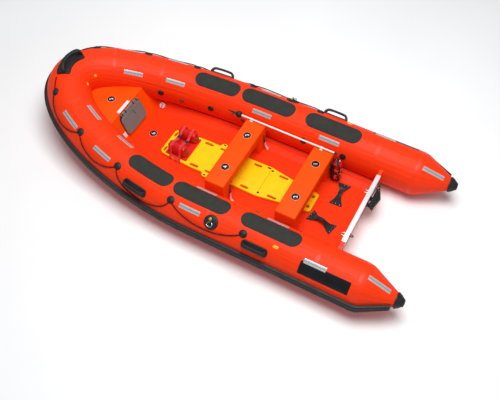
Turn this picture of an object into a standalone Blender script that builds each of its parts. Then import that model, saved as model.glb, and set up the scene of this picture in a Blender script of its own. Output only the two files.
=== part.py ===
"""Inshore rescue boat: a rigid V-hull with a sole, two thwarts and a bow locker, inside a U-shaped buoyancy tube.

X runs forward, Y to port and Z up, in metres. The origin is on the centreline amidships, at the waterline.
Stations are measured forward from the aft face of the transom. Lengths along the tube, called runs,
start at the same place and follow the tube's centre line to the stem.
"""
import math

import bmesh
import bpy
from mathutils import Matrix, Vector

GAP = 0.0003

# Overall sizes and the buoyancy tube
TRANSOM_X = -1.51
TUBE_RADIUS = 0.242
TUBE_HALF_SPACING = 0.769
TUBE_CENTRE_Z = 0.25
BOW_START = 1.385
BOW_STATION = 3.538
BOW_REACH = BOW_STATION - BOW_START
SHEER_START = 1.64
SHEER_RISE = 0.26
TUBE_JOINT = 1.30
TUBE_SIDES_RESOLUTION = 10
BOW_STEPS = 28
# Stern cone of the tube: station, radius, rise of its axis
STERN_CONE = ((-0.705, 0.076, 0.030), (-0.430, 0.218, 0.004), (-0.395, 0.233, 0.001), (-0.350, 0.240, 0.0), (-0.300, 0.242, 0.0))

# Where the rubbing strake starts on the cone: station, radius, rise
STRAKE_START = (-0.685, 0.0863, 0.0281)

# Hull, sole and transom
SOLE_Z = 0.052
SOLE_THICKNESS = 0.012
TRANSOM_TOP = 0.352
TRANSOM_THICKNESS = 0.036
# How far the transom leans aft, per metre of height above its foot
TRANSOM_RAKE = 0.10
CAP_HALF_WIDTH = 0.462
CAP_TOP = 0.366
CAP_SHEET = 0.006
CAP_FLANGE = 0.150
# Tread of the boarding step: station, y
STEP_OUTLINE = ((-0.034, -0.130), (-0.104, -0.088), (-0.134, -0.255), (-0.058, -0.425), (-0.040, -0.345))
# Hull sections: station, keel height, chine half-width and height, sole half-width and height, liner edge half-width and height
HULL_SECTIONS = (
    (0.000, -0.235, 0.660, 0.000, 0.440, 0.052, 0.600, 0.130),
    (1.600, -0.235, 0.660, 0.010, 0.440, 0.052, 0.600, 0.130),
    (2.300, -0.190, 0.600, 0.040, 0.400, 0.052, 0.560, 0.150),
    (2.800, -0.095, 0.500, 0.095, 0.330, 0.052, 0.460, 0.190),
    (3.150, 0.030, 0.370, 0.165, 0.230, 0.140, 0.330, 0.240),
    (3.380, 0.140, 0.210, 0.232, 0.100, 0.240, 0.160, 0.290),
    (3.520, 0.232, 0.070, 0.262, 0.025, 0.290, 0.040, 0.310),
)
HULL_STATIONS = (0.0, 1.6, 1.78, 1.95, 2.12, 2.3, 2.42, 2.54, 2.67, 2.8, 2.92, 3.04, 3.15, 3.27, 3.38, 3.45, 3.52)

# Thwarts: name, station of the aft edge
THWARTS = (("thwart_aft", 0.508), ("thwart_forward", 1.329))
THWART_LENGTH = 0.232
THWART_TOP = 0.412
THWART_HALF_WIDTH = 0.484
THWART_BEAM_DEPTH = 0.115
THWART_ARCH_HALF_WIDTH = 0.330

# Lifting eyes at the bow, on the liner's slope beside the locker
BOW_EYE_STATION = 2.665
BOW_EYE_Y = 0.410
BOW_EYE_LIFT = 0.0030

# Bow locker and its hatch
LOCKER_FACE = 2.720
LOCKER_LEAN = 0.125
LOCKER_TOP = 0.400
LOCKER_WALL = 0.020
HATCH_WIDTH = 0.37
HATCH_HEIGHT = 0.262
HATCH_CORNER = 0.055
HATCH_MIDDLE_Z = 0.250
HATCH_RIM = 0.022
HATCH_RIM_THICKNESS = 0.008
HATCH_LID_THICKNESS = 0.014
HATCH_STANDOFF = 0.0052
HINGE_RADIUS = 0.0085
HINGE_PIN_RADIUS = 0.0035

# Anti-slip pads on the crown of each tube: name, run of the aft end and of the forward end
PADS = (("aft", 0.320, 0.970), ("middle", 1.110, 1.760), ("forward", 1.800, 2.360))
PAD_AROUND = -8.0
PAD_HALF_ANGLE = 23.0
PAD_THICKNESS = 0.004

# Grab line patches, moulded handles and towing rings: runs and the angle outboard of the crown
GRAB_RUNS = (0.870, 1.700, 2.400, 2.970, 3.500)
GRAB_AROUND = 33.0
GRAB_SAG = (31.0, 0.75)
GRAB_SAG_BY_HANDLE = (43.0, 0.45)
GRAB_END_RUN = 3.635
PATCH_RADIUS = 0.043
PATCH_HEIGHT = 0.016
PATCH_SINK = 0.006
RING_PATCH_SINK = 0.014
ROPE_RADIUS = 0.006
HANDLE_RUNS = (("aft", 0.715), ("forward", 2.120))
HANDLE_AROUND = 54.0
RING_RUN = 1.220
RING_AROUND = 40.0

# Folding stretcher: stations of its foot end, fold and head end, and its top
STRETCHER_FOOT = 0.490
STRETCHER_FOLD = 1.100
STRETCHER_HEAD = 2.330
STRETCHER_THICKNESS = 0.040
# Half-outline of the board: station, half-width
BOARD_OUTLINE = ((0.490, 0.112), (0.515, 0.130), (0.600, 0.140), (0.835, 0.168), (1.100, 0.212), (1.400, 0.207),
                 (1.655, 0.209), (1.678, 0.240), (1.705, 0.256), (1.735, 0.256), (1.757, 0.240), (1.775, 0.211),
                 (1.900, 0.212), (2.020, 0.205), (2.260, 0.188), (2.310, 0.176), (2.330, 0.150))
# Hand slots on each side of the board: station of the middle, half-length, half-width, inset from the edge
HAND_SLOTS = ((0.548, 0.026, 0.013, 0.056), (0.700, 0.050, 0.012, 0.030), (0.933, 0.055, 0.012, 0.036),
              (1.260, 0.046, 0.012, 0.044), (1.430, 0.024, 0.010, 0.030), (1.700, 0.050, 0.012, 0.076),
              (1.890, 0.050, 0.012, 0.040))
# Grips across the corners of the head end: station, y of the middle, half-length across the board, half-width
HEAD_GRIPS = (2.297, 0.116, 0.034, 0.011)

LOOKS = {
    "tube": ((0.90, 0.075, 0.012), 0.42, 0.0),
    "gelcoat": ((0.93, 0.115, 0.006), 0.30, 0.0),
    "bench": ((0.95, 0.150, 0.006), 0.35, 0.0),
    "black": ((0.018, 0.018, 0.018), 0.60, 0.0),
    "pad": ((0.050, 0.050, 0.046), 0.85, 0.0),
    "hatch": ((0.23, 0.205, 0.20), 0.50, 0.0),
    "steel": ((0.62, 0.63, 0.64), 0.28, 1.0),
    "white": ((0.80, 0.80, 0.78), 0.40, 0.0),
    "alloy": ((0.72, 0.73, 0.74), 0.38, 0.6),
    "yellow": ((0.93, 0.58, 0.008), 0.45, 0.0),
    "red": ((0.55, 0.012, 0.012), 0.60, 0.0),
    "rope": ((0.012, 0.012, 0.013), 0.80, 0.0),
}


def start_collections():
    """Empty the scene and make one collection for the boat and one for its cutters."""
    for old in list(bpy.data.objects):
        bpy.data.objects.remove(old, do_unlink=True)
    boat = bpy.data.collections.new("inshore_rescue_boat")
    cutters = bpy.data.collections.new("cutters")
    for group in (boat, cutters):
        bpy.context.scene.collection.children.link(group)
    return boat, cutters


BOAT, CUTTERS = start_collections()


def finish(name, look):
    colour, roughness, metallic = LOOKS[look]
    mat = bpy.data.materials.new(name + "_finish")
    mat.use_nodes = True
    shader = mat.node_tree.nodes["Principled BSDF"]
    shader.inputs["Base Color"].default_value = (*colour, 1.0)
    shader.inputs["Roughness"].default_value = roughness
    shader.inputs["Metallic"].default_value = metallic
    mat.diffuse_color = (*colour, 1.0)
    return mat


def piece(name, data, look):
    """Add a named piece of the boat."""
    obj = bpy.data.objects.new(name, data)
    data.materials.clear()
    data.materials.append(finish(name, look))
    BOAT.objects.link(obj)
    return obj


def cutter(name, data):
    obj = bpy.data.objects.new(name, data)
    obj.hide_render = True
    obj.display_type = "WIRE"
    CUTTERS.objects.link(obj)
    return obj


def combine(obj, other, operation):
    step = obj.modifiers.new(other.name, "BOOLEAN")
    step.operation = operation
    step.solver = "EXACT"
    step.object = other
    return obj


def sta(station):
    return TRANSOM_X + station


def smooth(data, angle=35.0):
    data.shade_smooth()
    data.set_sharp_from_angle(angle=math.radians(angle))
    return data


def mesh_from(bm, name):
    bmesh.ops.recalc_face_normals(bm, faces=bm.faces)
    data = bpy.data.meshes.new(name)
    bm.to_mesh(data)
    bm.free()
    return data


def box(name, low, high, bevel=0.0):
    """A block between two corners, with its edges rounded where a bevel is given."""
    low, high = Vector(low), Vector(high)
    bm = bmesh.new()
    bmesh.ops.create_cube(bm, size=1.0)
    size = high - low
    bmesh.ops.scale(bm, vec=size, verts=bm.verts)
    bmesh.ops.translate(bm, vec=(low + high) / 2, verts=bm.verts)
    if bevel:
        bmesh.ops.bevel(bm, geom=bm.edges, offset=bevel, segments=2, affect="EDGES", profile=0.5)
    return mesh_from(bm, name)


def rod(name, start, end, radius, end_radius=None, sides=16):
    """A round bar or a cone between two points."""
    start, end = Vector(start), Vector(end)
    axis = end - start
    bm = bmesh.new()
    bmesh.ops.create_cone(bm, cap_ends=True, segments=sides, radius1=radius,
                          radius2=radius if end_radius is None else end_radius, depth=axis.length)
    turn = axis.to_track_quat("Z", "Y").to_matrix().to_4x4()
    bmesh.ops.transform(bm, matrix=Matrix.Translation((start + end) / 2) @ turn, verts=bm.verts)
    return mesh_from(bm, name)


def wire(name, points, radius, resolution=2, cyclic=False, radii=None):
    """A round tube along points, as a curve with filled caps."""
    data = bpy.data.curves.new(name, "CURVE")
    data.dimensions = "3D"
    data.twist_mode = "Z_UP"
    data.bevel_depth = radius
    data.bevel_resolution = resolution
    data.use_fill_caps = True
    spline = data.splines.new("POLY")
    spline.points.add(len(points) - 1)
    for index, point in enumerate(points):
        spline.points[index].co = (*point, 1.0)
        if radii:
            spline.points[index].radius = radii[index] / radius
    spline.use_cyclic_u = cyclic
    return data


def curve_mesh(data):
    """The welded mesh of a curve, so that it can be cut or joined."""
    holder = bpy.data.objects.new(data.name, data)
    bpy.context.scene.collection.objects.link(holder)
    bpy.context.view_layer.update()
    evaluated = holder.evaluated_get(bpy.context.evaluated_depsgraph_get())
    mesh = bpy.data.meshes.new_from_object(evaluated)
    bpy.data.objects.remove(holder, do_unlink=True)
    bm = bmesh.new()
    bm.from_mesh(mesh)
    bmesh.ops.remove_doubles(bm, verts=bm.verts, dist=0.00005)
    bmesh.ops.recalc_face_normals(bm, faces=bm.faces)
    bm.to_mesh(mesh)
    bm.free()
    return mesh


def loft(name, sections):
    """A closed solid through sections that have the same number of points."""
    bm = bmesh.new()
    rings = [[bm.verts.new(point) for point in section] for section in sections]
    for ring, following in zip(rings, rings[1:]):
        for index in range(len(ring)):
            after = (index + 1) % len(ring)
            bm.faces.new((ring[index], ring[after], following[after], following[index]))
    bm.faces.new(rings[0])
    bm.faces.new(rings[-1])
    bm.normal_update()
    bmesh.ops.triangulate(bm, faces=bm.faces)
    return mesh_from(bm, name)


def flat_plate(name, outline, thickness, holes=()):
    """A flat outline with holes, as a filled 2D curve about its middle plane."""
    data = bpy.data.curves.new(name, "CURVE")
    data.dimensions = "2D"
    data.fill_mode = "BOTH"
    data.extrude = thickness / 2
    for loop in (outline, *holes):
        spline = data.splines.new("POLY")
        spline.points.add(len(loop) - 1)
        for index, (x, y) in enumerate(loop):
            spline.points[index].co = (x, y, 0.0, 1.0)
        spline.use_cyclic_u = True
    return data


def rounded_rectangle(half_x, half_y, radius, steps=5):
    points = []
    for corner, (sx, sy) in enumerate(((1, 1), (-1, 1), (-1, -1), (1, -1))):
        for step in range(steps + 1):
            angle = math.radians(90 * corner + 90 * step / steps)
            points.append((sx * (half_x - radius) + radius * math.cos(angle),
                           sy * (half_y - radius) + radius * math.sin(angle)))
    return points


def slot_outline(x, y, half_length, half_width, steps=4):
    points = []
    for end, sign in ((0, 1), (1, -1)):
        for step in range(steps + 1):
            angle = math.radians(-90 + 180 * end + 180 * step / steps)
            points.append((x + sign * (half_length - half_width) + half_width * math.cos(angle),
                           y + half_width * math.sin(angle)))
    return points


def sheer(station):
    """Height of the tube's centre at a station."""
    part = max(0.0, station - SHEER_START) / (BOW_STATION - SHEER_START)
    return TUBE_CENTRE_Z + SHEER_RISE * part ** 2


def bow_station(angle):
    return BOW_START + BOW_REACH * math.sin(angle)


def bow_runs(steps=400):
    """Runs along the bow's curve with their angles, from the end of the straight side to the stem."""
    table = [(BOW_START, 0.0)]
    for step in range(steps):
        angle = math.pi / 2 * (step + 0.5) / steps
        length = math.hypot(BOW_REACH * math.cos(angle), TUBE_HALF_SPACING * math.sin(angle))
        table.append((table[-1][0] + length * math.pi / 2 / steps, math.pi / 2 * (step + 1) / steps))
    return table


BOW_TABLE = bow_runs()
STEM_RUN = BOW_TABLE[-1][0]


def bow_angle(run):
    """Angle on the bow's ellipse at a run."""
    if run <= BOW_START:
        return 0.0
    for (low, first), (high, second) in zip(BOW_TABLE, BOW_TABLE[1:]):
        if run <= high:
            return first + (second - first) * (run - low) / (high - low)
    return math.pi / 2


def bow_run(angle):
    """Run to an angle on the bow's ellipse."""
    for (low, first), (high, second) in zip(BOW_TABLE, BOW_TABLE[1:]):
        if angle <= second:
            return low + (high - low) * (angle - first) / (second - first)
    return STEM_RUN


def tube_frame(run, side):
    """Centre of the tube with its outboard, upward and forward directions."""
    angle = bow_angle(run)
    station = run if run <= BOW_START else bow_station(angle)
    centre = Vector((sta(station), side * TUBE_HALF_SPACING * math.cos(angle), sheer(station)))
    outboard = Vector((math.sin(angle) / BOW_REACH, side * math.cos(angle) / TUBE_HALF_SPACING, 0.0)).normalized()
    part = max(0.0, station - SHEER_START) / (BOW_STATION - SHEER_START)
    slope = 2 * SHEER_RISE * part / (BOW_STATION - SHEER_START)
    forward = Vector((BOW_REACH * math.cos(angle), -side * TUBE_HALF_SPACING * math.sin(angle), 0.0)).normalized()
    forward.z = slope * forward.x
    forward.normalize()
    upward = outboard.cross(forward) if side < 0 else forward.cross(outboard)
    return centre, outboard, upward, forward


def on_tube(run, side, around, lift):
    """A point over the tube's skin, at an angle in degrees outboard of the crown, and the way out there."""
    centre, outboard, upward, forward = tube_frame(run, side)
    out = outboard * math.sin(math.radians(around)) + upward * math.cos(math.radians(around))
    return centre + out * (TUBE_RADIUS + lift), out


def collar_stations(side, first_run, last_run):
    """Centre points and radii of the tube on one side, from aft to forward."""
    points, radii = [], []
    if first_run < STERN_CONE[-1][0]:
        for station, radius, rise in STERN_CONE:
            points.append(Vector((sta(station), side * TUBE_HALF_SPACING, TUBE_CENTRE_Z + rise)))
            radii.append(radius)
    else:
        points.append(tube_frame(first_run, side)[0])
        radii.append(TUBE_RADIUS)
    if last_run <= BOW_START:
        points.append(tube_frame(last_run, side)[0])
        radii.append(TUBE_RADIUS)
        return points, radii
    for step in range(BOW_STEPS + 1):
        angle = math.pi / 2 * step / BOW_STEPS
        station = bow_station(angle)
        points.append(Vector((sta(station), side * TUBE_HALF_SPACING * math.cos(angle), sheer(station))))
        radii.append(TUBE_RADIUS)
    return points, radii


def make_collar_cutter():
    """The whole U of the tube, a little larger than the tube, for trimming what meets it."""
    port, port_radii = collar_stations(1, -1.0, STEM_RUN)
    starboard, starboard_radii = collar_stations(-1, -1.0, STEM_RUN)
    points = port + starboard[-2::-1]
    radii = [radius + 2 * GAP for radius in port_radii + starboard_radii[-2::-1]]
    data = wire("collar_cutter", points, TUBE_RADIUS + 2 * GAP, TUBE_SIDES_RESOLUTION, radii=radii)
    return cutter("collar_cutter", curve_mesh(data))


def make_tubes():
    """Three air chambers: port side, starboard side and bow, which meet at two baffles."""
    for name, side in (("tube_port", 1), ("tube_starboard", -1)):
        points, radii = collar_stations(side, -1.0, TUBE_JOINT - GAP)
        piece(name, smooth(curve_mesh(wire(name, points, TUBE_RADIUS, TUBE_SIDES_RESOLUTION, radii=radii))), "tube")
    port = collar_stations(1, TUBE_JOINT, STEM_RUN)[0]
    starboard = collar_stations(-1, TUBE_JOINT, STEM_RUN)[0]
    points = port + starboard[-2::-1]
    piece("tube_bow", smooth(curve_mesh(wire("tube_bow", points, TUBE_RADIUS, TUBE_SIDES_RESOLUTION))), "tube")


def make_cone_caps():
    """Moulded rubber caps over the ends of the stern cones, turned about the cone's tilted axis."""
    # Distance aft of the cone's end, radius
    profile = ((GAP, 0.0), (GAP, 0.082), (0.020, 0.080), (0.060, 0.060), (0.084, 0.040), (0.084, 0.0))
    for name, side in (("cone_cap_port", 1), ("cone_cap_starboard", -1)):
        bm = bmesh.new()
        verts = [bm.verts.new((radius, 0.0, -distance)) for distance, radius in profile]
        for first, second in zip(verts, verts[1:]):
            bm.edges.new((first, second))
        data = bpy.data.meshes.new(name)
        bm.to_mesh(data)
        bm.free()
        obj = piece(name, data, "black")
        end, following = collar_stations(side, -1.0, 0.0)[0][:2]
        obj.location = end
        obj.rotation_euler = (following - end).to_track_quat("Z", "Y").to_euler()
        turn = obj.modifiers.new("turn", "SCREW")
        turn.axis = "Z"
        turn.steps = turn.render_steps = 20
        turn.use_merge_vertices = True
        turn.merge_threshold = 0.0001


def make_strakes():
    """Rubbing strake: a double-D rubber section along the outboard side, in two lengths that meet at the stem."""
    # Distance off the skin, height about the tube's middle: back face, upper ridge, groove, lower ridge
    profile = ((0.0008, 0.064), (0.0026, 0.040), (-0.0004, 0.022), (-0.0015, 0.0), (-0.0006, -0.022), (0.0026, -0.040),
               (0.024, -0.042), (0.036, -0.031), (0.036, 0.001), (0.030, 0.012), (0.036, 0.023), (0.036, 0.055), (0.024, 0.066))
    drop = -0.030
    for name, side in (("strake_port", 1), ("strake_starboard", -1)):
        rings = []
        for station, radius, rise in (STRAKE_START, *STERN_CONE[1:]):
            centre = Vector((sta(station), side * TUBE_HALF_SPACING, TUBE_CENTRE_Z + rise))
            rings.append((centre, Vector((0, side, 0)), Vector((0, 0, 1)), radius))
        for step in range(BOW_STEPS + 1):
            centre, outboard, upward, forward = tube_frame(bow_run(math.pi / 2 * step / BOW_STEPS), side)
            rings.append((centre, outboard, upward, TUBE_RADIUS))
        sections = []
        for centre, outboard, upward, radius in rings:
            middle = drop * radius / TUBE_RADIUS
            section = []
            for off, height in profile:
                level = middle + height * (1.0 if radius > 0.1 else 0.75)
                reach = math.sqrt(radius ** 2 - level ** 2) + (0.003 if radius < TUBE_RADIUS else 0.0)
                section.append(centre + outboard * (reach + off) + upward * level)
            sections.append(section)
        last_centre = rings[-1][0]
        sections[-1] = [Vector((point.x, last_centre.y + side * GAP / 2, point.z)) for point in sections[-1]]
        piece(name, smooth(loft(name, sections)), "black")


def hull_row(station):
    """The hull's measures at a station, drawn fairly through the table without overshoot."""
    rows = HULL_SECTIONS
    index = max(number for number in range(len(rows) - 1) if rows[number][0] <= station)
    low, high = rows[index], rows[index + 1]
    length = high[0] - low[0]
    part = (station - low[0]) / length
    values = [station]
    for column in range(1, len(low)):
        slopes = [(b[column] - a[column]) / (b[0] - a[0]) for a, b in zip(rows, rows[1:])]
        ends = []
        for corner in (index, index + 1):
            before = slopes[max(corner - 1, 0)]
            after = slopes[min(corner, len(slopes) - 1)]
            ends.append(2 * before * after / (before + after) if before * after > 0 else 0.0)
        rise = high[column] - low[column]
        start, end = ends[0] * length, ends[1] * length
        values.append(low[column] + part * start + part ** 2 * (3 * rise - 2 * start - end)
                      + part ** 3 * (start + end - 2 * rise))
    return values


def hull_section(row, part):
    """Points of one hull or sole section, from port to starboard round the outline."""
    station, keel, chine_half, chine_z, sole_half, sole_z, edge_half, edge_z = row
    x = sta(station)
    low = SOLE_THICKNESS
    if part == "hull":
        outline = [(0.0, keel), (min(0.06, chine_half / 3), keel + 0.012), (chine_half, chine_z),
                   (edge_half + 0.03, edge_z - low - GAP + 0.01), (sole_half, sole_z - low - GAP)]
        mirrored = [(-y, z) for y, z in reversed(outline[1:])]
        return [Vector((x, y, z)) for y, z in outline + mirrored]
    top = [(edge_half, edge_z), (sole_half, sole_z)]
    under = [(sole_half, sole_z - low), (edge_half, edge_z - low)]
    right = [(-y, z) for y, z in reversed(top)]
    right_under = [(-y, z) for y, z in reversed(under)]
    return [Vector((x, y, z)) for y, z in top + right + right_under + under]


def make_hull_and_sole(collar):
    rows = [hull_row(station) for station in HULL_STATIONS]
    hull = piece("hull", loft("hull", [hull_section(row, "hull") for row in rows]), "gelcoat")
    combine(hull, collar, "DIFFERENCE")
    sole = piece("sole", loft("sole", [hull_section(row, "sole") for row in rows]), "gelcoat")
    combine(sole, collar, "DIFFERENCE")
    room = [[raked(Vector((sta(station), y, z))) for station, y in
             ((-0.3, -0.9), (TRANSOM_THICKNESS + GAP, -0.9), (TRANSOM_THICKNESS + GAP, 0.9), (-0.3, 0.9))]
            for z in (-0.30, 0.60)]
    combine(sole, cutter("transom_room", loft("transom_room", room)), "DIFFERENCE")


def raked(point):
    """Moves a point aft with its height, as the transom leans."""
    return rake_matrix() @ point


def rake_matrix():
    foot = SOLE_Z - SOLE_THICKNESS
    return Matrix(((1, 0, -TRANSOM_RAKE, TRANSOM_RAKE * foot), (0, 1, 0, 0), (0, 0, 1, 0), (0, 0, 0, 1)))


def make_transom(collar):
    """Moulded transom board between the tubes, with an alloy cap over its top edge and aft face."""
    low = SOLE_Z - SOLE_THICKNESS
    outline = [(-0.66, low), (0.66, low), (0.66, TRANSOM_TOP), (-0.66, TRANSOM_TOP)]
    sections = [[raked(Vector((sta(station), y, z))) for y, z in outline] for station in (0.0, TRANSOM_THICKNESS)]
    transom = piece("transom", loft("transom", sections), "gelcoat")
    combine(transom, collar, "DIFFERENCE")
    hull_top = cutter("hull_top_cutter", loft("hull_top_cutter", [
        [point + Vector((offset, 0, GAP)) for point in hull_section(HULL_SECTIONS[row], "hull")]
        for row, offset in ((0, -0.05), (1, 0.0))]))
    combine(transom, hull_top, "DIFFERENCE")
    back, front = -GAP - CAP_SHEET, TRANSOM_THICKNESS + GAP + 0.004
    profile = [(back, CAP_TOP - CAP_FLANGE), (back, CAP_TOP), (front, CAP_TOP), (front, CAP_TOP - 0.040),
               (front - 0.004, CAP_TOP - 0.040), (front - 0.004, TRANSOM_TOP + GAP),
               (-GAP, TRANSOM_TOP + GAP), (-GAP, CAP_TOP - CAP_FLANGE)]
    sections = [[raked(Vector((sta(station), y, z))) for station, z in profile] for y in (-CAP_HALF_WIDTH, CAP_HALF_WIDTH)]
    piece("transom_cap", loft("transom_cap", sections), "alloy")


def make_thwarts():
    """Two cross benches, each a beam on two pedestals whose feet follow the liner, open beneath in the middle."""
    row = HULL_SECTIONS[0]
    slope = (row[7] - row[5]) / (row[6] - row[4])
    far = 0.9
    half = [(far, -0.1), (far, row[5] + slope * (far - row[4]) + GAP), (row[4], row[5] + GAP)]
    outline = half + [(-y, z) for y, z in reversed(half)]
    for name, aft in THWARTS:
        forward = aft + THWART_LENGTH
        bench = piece(name, box(name, (sta(aft), -THWART_HALF_WIDTH, SOLE_Z + GAP),
                                (sta(forward), THWART_HALF_WIDTH, THWART_TOP), 0.010), "bench")
        arch = box(name + "_arch", (sta(aft) - 0.1, -THWART_ARCH_HALF_WIDTH, SOLE_Z - 0.05),
                   (sta(forward) + 0.1, THWART_ARCH_HALF_WIDTH, THWART_TOP - THWART_BEAM_DEPTH))
        combine(bench, cutter(name + "_arch", arch), "DIFFERENCE")
        liner = loft(name + "_foot", [[Vector((sta(station), y, z)) for y, z in outline]
                                      for station in (aft - 0.1, forward + 0.1)])
        combine(bench, cutter(name + "_foot", liner), "DIFFERENCE")


def locker_face(z):
    """Station of the locker's aft face at a height: it leans forward as it rises."""
    return LOCKER_FACE + LOCKER_LEAN * (z - SOLE_Z) / (LOCKER_TOP - SOLE_Z)


def face_matrix(z):
    """Placement on the locker's aft face: local x to starboard, y up the face, z out of it, aft."""
    lean = math.atan2(LOCKER_LEAN, LOCKER_TOP - SOLE_Z)
    up = Vector((math.sin(lean), 0.0, math.cos(lean)))
    out = Vector((-math.cos(lean), 0.0, math.sin(lean)))
    return Matrix.Translation((sta(locker_face(z)), 0.0, z)) @ Matrix((up.cross(out), up, out)).transposed().to_4x4()


def placed(data, matrix):
    mesh = curve_mesh(data) if isinstance(data, bpy.types.Curve) else data
    mesh.transform(matrix)
    return mesh


def make_locker(collar):
    """Bow locker: a moulded top and aft face, hollow behind, whose sides are the tube and the hull."""
    half_width = 0.60
    foot = SOLE_Z - 0.02
    bottom, top = locker_face(foot), locker_face(LOCKER_TOP)
    profile = [(bottom, foot), (top, LOCKER_TOP), (top + LOCKER_WALL, LOCKER_TOP), (bottom + LOCKER_WALL, foot)]
    sections = [[Vector((sta(station), y, z)) for station, z in profile] for y in (-half_width, half_width)]
    locker = piece("bow_locker", loft("bow_locker", sections), "bench")
    first = math.asin((top + 0.004 - BOW_START) / BOW_REACH)
    port = []
    for step in range(13):
        angle = first + (math.pi / 2 - first) * step / 12
        port.append((sta(bow_station(angle)), TUBE_HALF_SPACING * math.cos(angle)))
    outline = port + [(x, -y) for x, y in reversed(port[:-1])]
    lid = flat_plate("locker_top", outline, LOCKER_WALL)
    lid = placed(lid, Matrix.Translation((0, 0, LOCKER_TOP - LOCKER_WALL / 2)))
    combine(locker, cutter("locker_top", lid), "UNION")
    below = []
    for row in [hull_row(station) for station in HULL_STATIONS if station > 2.4]:
        x, sole_half, sole_z, edge_half, edge_z = sta(row[0]), *row[4:]
        half = [(sole_half, sole_z + GAP), (edge_half, edge_z + GAP), (0.8, edge_z + GAP), (0.8, -0.4)]
        below.append([Vector((x, y, z)) for y, z in half + [(-y, z) for y, z in reversed(half)]])
    combine(locker, cutter("locker_foot_cutter", loft("locker_foot_cutter", below)), "DIFFERENCE")
    combine(locker, collar, "DIFFERENCE")
    opening = flat_plate("hatch_opening", rounded_rectangle(HATCH_WIDTH / 2 - HATCH_RIM, HATCH_HEIGHT / 2 - HATCH_RIM,
                                                            HATCH_CORNER - HATCH_RIM / 2), 0.12)
    combine(locker, cutter("hatch_opening", placed(opening, face_matrix(HATCH_MIDDLE_Z))), "DIFFERENCE")


def make_hatch():
    """Rim bonded round the opening, with two ears that hold the hinge pin, and the lid that swings on it."""
    base = face_matrix(HATCH_MIDDLE_Z)
    outer = rounded_rectangle(HATCH_WIDTH / 2, HATCH_HEIGHT / 2, HATCH_CORNER)
    inner = rounded_rectangle(HATCH_WIDTH / 2 - HATCH_RIM, HATCH_HEIGHT / 2 - HATCH_RIM, HATCH_CORNER - HATCH_RIM / 2)
    rim_middle = GAP + HATCH_RIM_THICKNESS / 2
    rim = piece("hatch_rim", placed(flat_plate("hatch_rim", outer, HATCH_RIM_THICKNESS, (inner,)),
                                    base @ Matrix.Translation((0, 0, rim_middle))), "black")
    hinge_y = HATCH_HEIGHT / 2 + 0.012
    hinge_z = GAP + HATCH_RIM_THICKNESS + 0.006
    ear_bottom = HATCH_HEIGHT / 2 - 0.013
    for number, centre in enumerate((-0.105, 0.105)):
        for sign in (-1, 1):
            low = (centre + sign * 0.030 - 0.005, ear_bottom, GAP + 0.001)
            high = (centre + sign * 0.030 + 0.005, hinge_y + HINGE_RADIUS, hinge_z + HINGE_RADIUS - 0.003)
            name = f"hatch_ear_{number}_{'a' if sign < 0 else 'b'}"
            combine(rim, cutter(name, placed(box(name, low, high), base)), "UNION")
    pin_hole = rod("pin_hole", (-0.2, hinge_y, hinge_z), (0.2, hinge_y, hinge_z), HINGE_PIN_RADIUS + GAP, sides=12)
    combine(rim, cutter("pin_hole", placed(pin_hole, base)), "DIFFERENCE")
    for number, centre in enumerate((-0.105, 0.105)):
        pin = rod("pin", (centre - 0.037, hinge_y, hinge_z), (centre + 0.037, hinge_y, hinge_z), HINGE_PIN_RADIUS, sides=12)
        piece(f"hatch_pin_{'starboard' if number else 'port'}", placed(pin, base), "steel")
    lid_bottom = GAP + HATCH_RIM_THICKNESS + HATCH_STANDOFF
    top_cut = HATCH_HEIGHT / 2 - 0.020
    lid_outline = [(x, min(y, top_cut)) for x, y in outer]
    lid = piece("hatch_lid", placed(flat_plate("hatch_lid", lid_outline, HATCH_LID_THICKNESS),
                                    base @ Matrix.Translation((0, 0, lid_bottom + HATCH_LID_THICKNESS / 2))), "hatch")
    for number, centre in enumerate((-0.105, 0.105)):
        name = f"knuckle_{number}"
        barrel = rod(name, (centre - 0.019, hinge_y, hinge_z), (centre + 0.019, hinge_y, hinge_z), HINGE_RADIUS, sides=16)
        combine(lid, cutter(name, placed(barrel, base)), "UNION")
        leaf = box(name + "_leaf", (centre - 0.019, top_cut - 0.012, lid_bottom + 0.001),
                   (centre + 0.019, hinge_y, lid_bottom + 0.008))
        combine(lid, cutter(name + "_leaf", placed(leaf, base)), "UNION")
    bore = rod("lid_bore", (-0.2, hinge_y, hinge_z), (0.2, hinge_y, hinge_z), HINGE_PIN_RADIUS + 0.0005, sides=12)
    combine(lid, cutter("lid_bore", placed(bore, base)), "DIFFERENCE")


def tube_patch(name, run, side, around, half_run, half_angle, corner, lift, thickness, rows=10, columns=4):
    """A thin plate with rounded corners, bent to the tube's skin."""
    arc = math.radians(half_angle) * TUBE_RADIUS
    bm = bmesh.new()
    grids = []
    for level in (lift, lift + thickness):
        grid = []
        for row in range(rows + 1):
            turn = math.pi * row / rows
            along = -half_run * math.cos(turn)
            over = max(0.0, abs(along) - (half_run - corner))
            width = arc - corner + math.sqrt(max(corner ** 2 - over ** 2, 0.0))
            width = max(width, 0.12 * arc)
            line = []
            for column in range(columns + 1):
                across = width * (2 * column / columns - 1)
                angle = around + math.degrees(across / TUBE_RADIUS)
                line.append(bm.verts.new(on_tube(run + along, side, angle, level)[0]))
            grid.append(line)
        grids.append(grid)
    under, over_grid = grids
    for row in range(rows):
        for column in range(columns):
            for grid in grids:
                bm.faces.new((grid[row][column], grid[row][column + 1], grid[row + 1][column + 1], grid[row + 1][column]))
        for column in (0, columns):
            bm.faces.new((under[row][column], under[row + 1][column], over_grid[row + 1][column], over_grid[row][column]))
    for row in (0, rows):
        for column in range(columns):
            bm.faces.new((under[row][column], under[row][column + 1], over_grid[row][column + 1], over_grid[row][column]))
    return mesh_from(bm, name)


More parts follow.
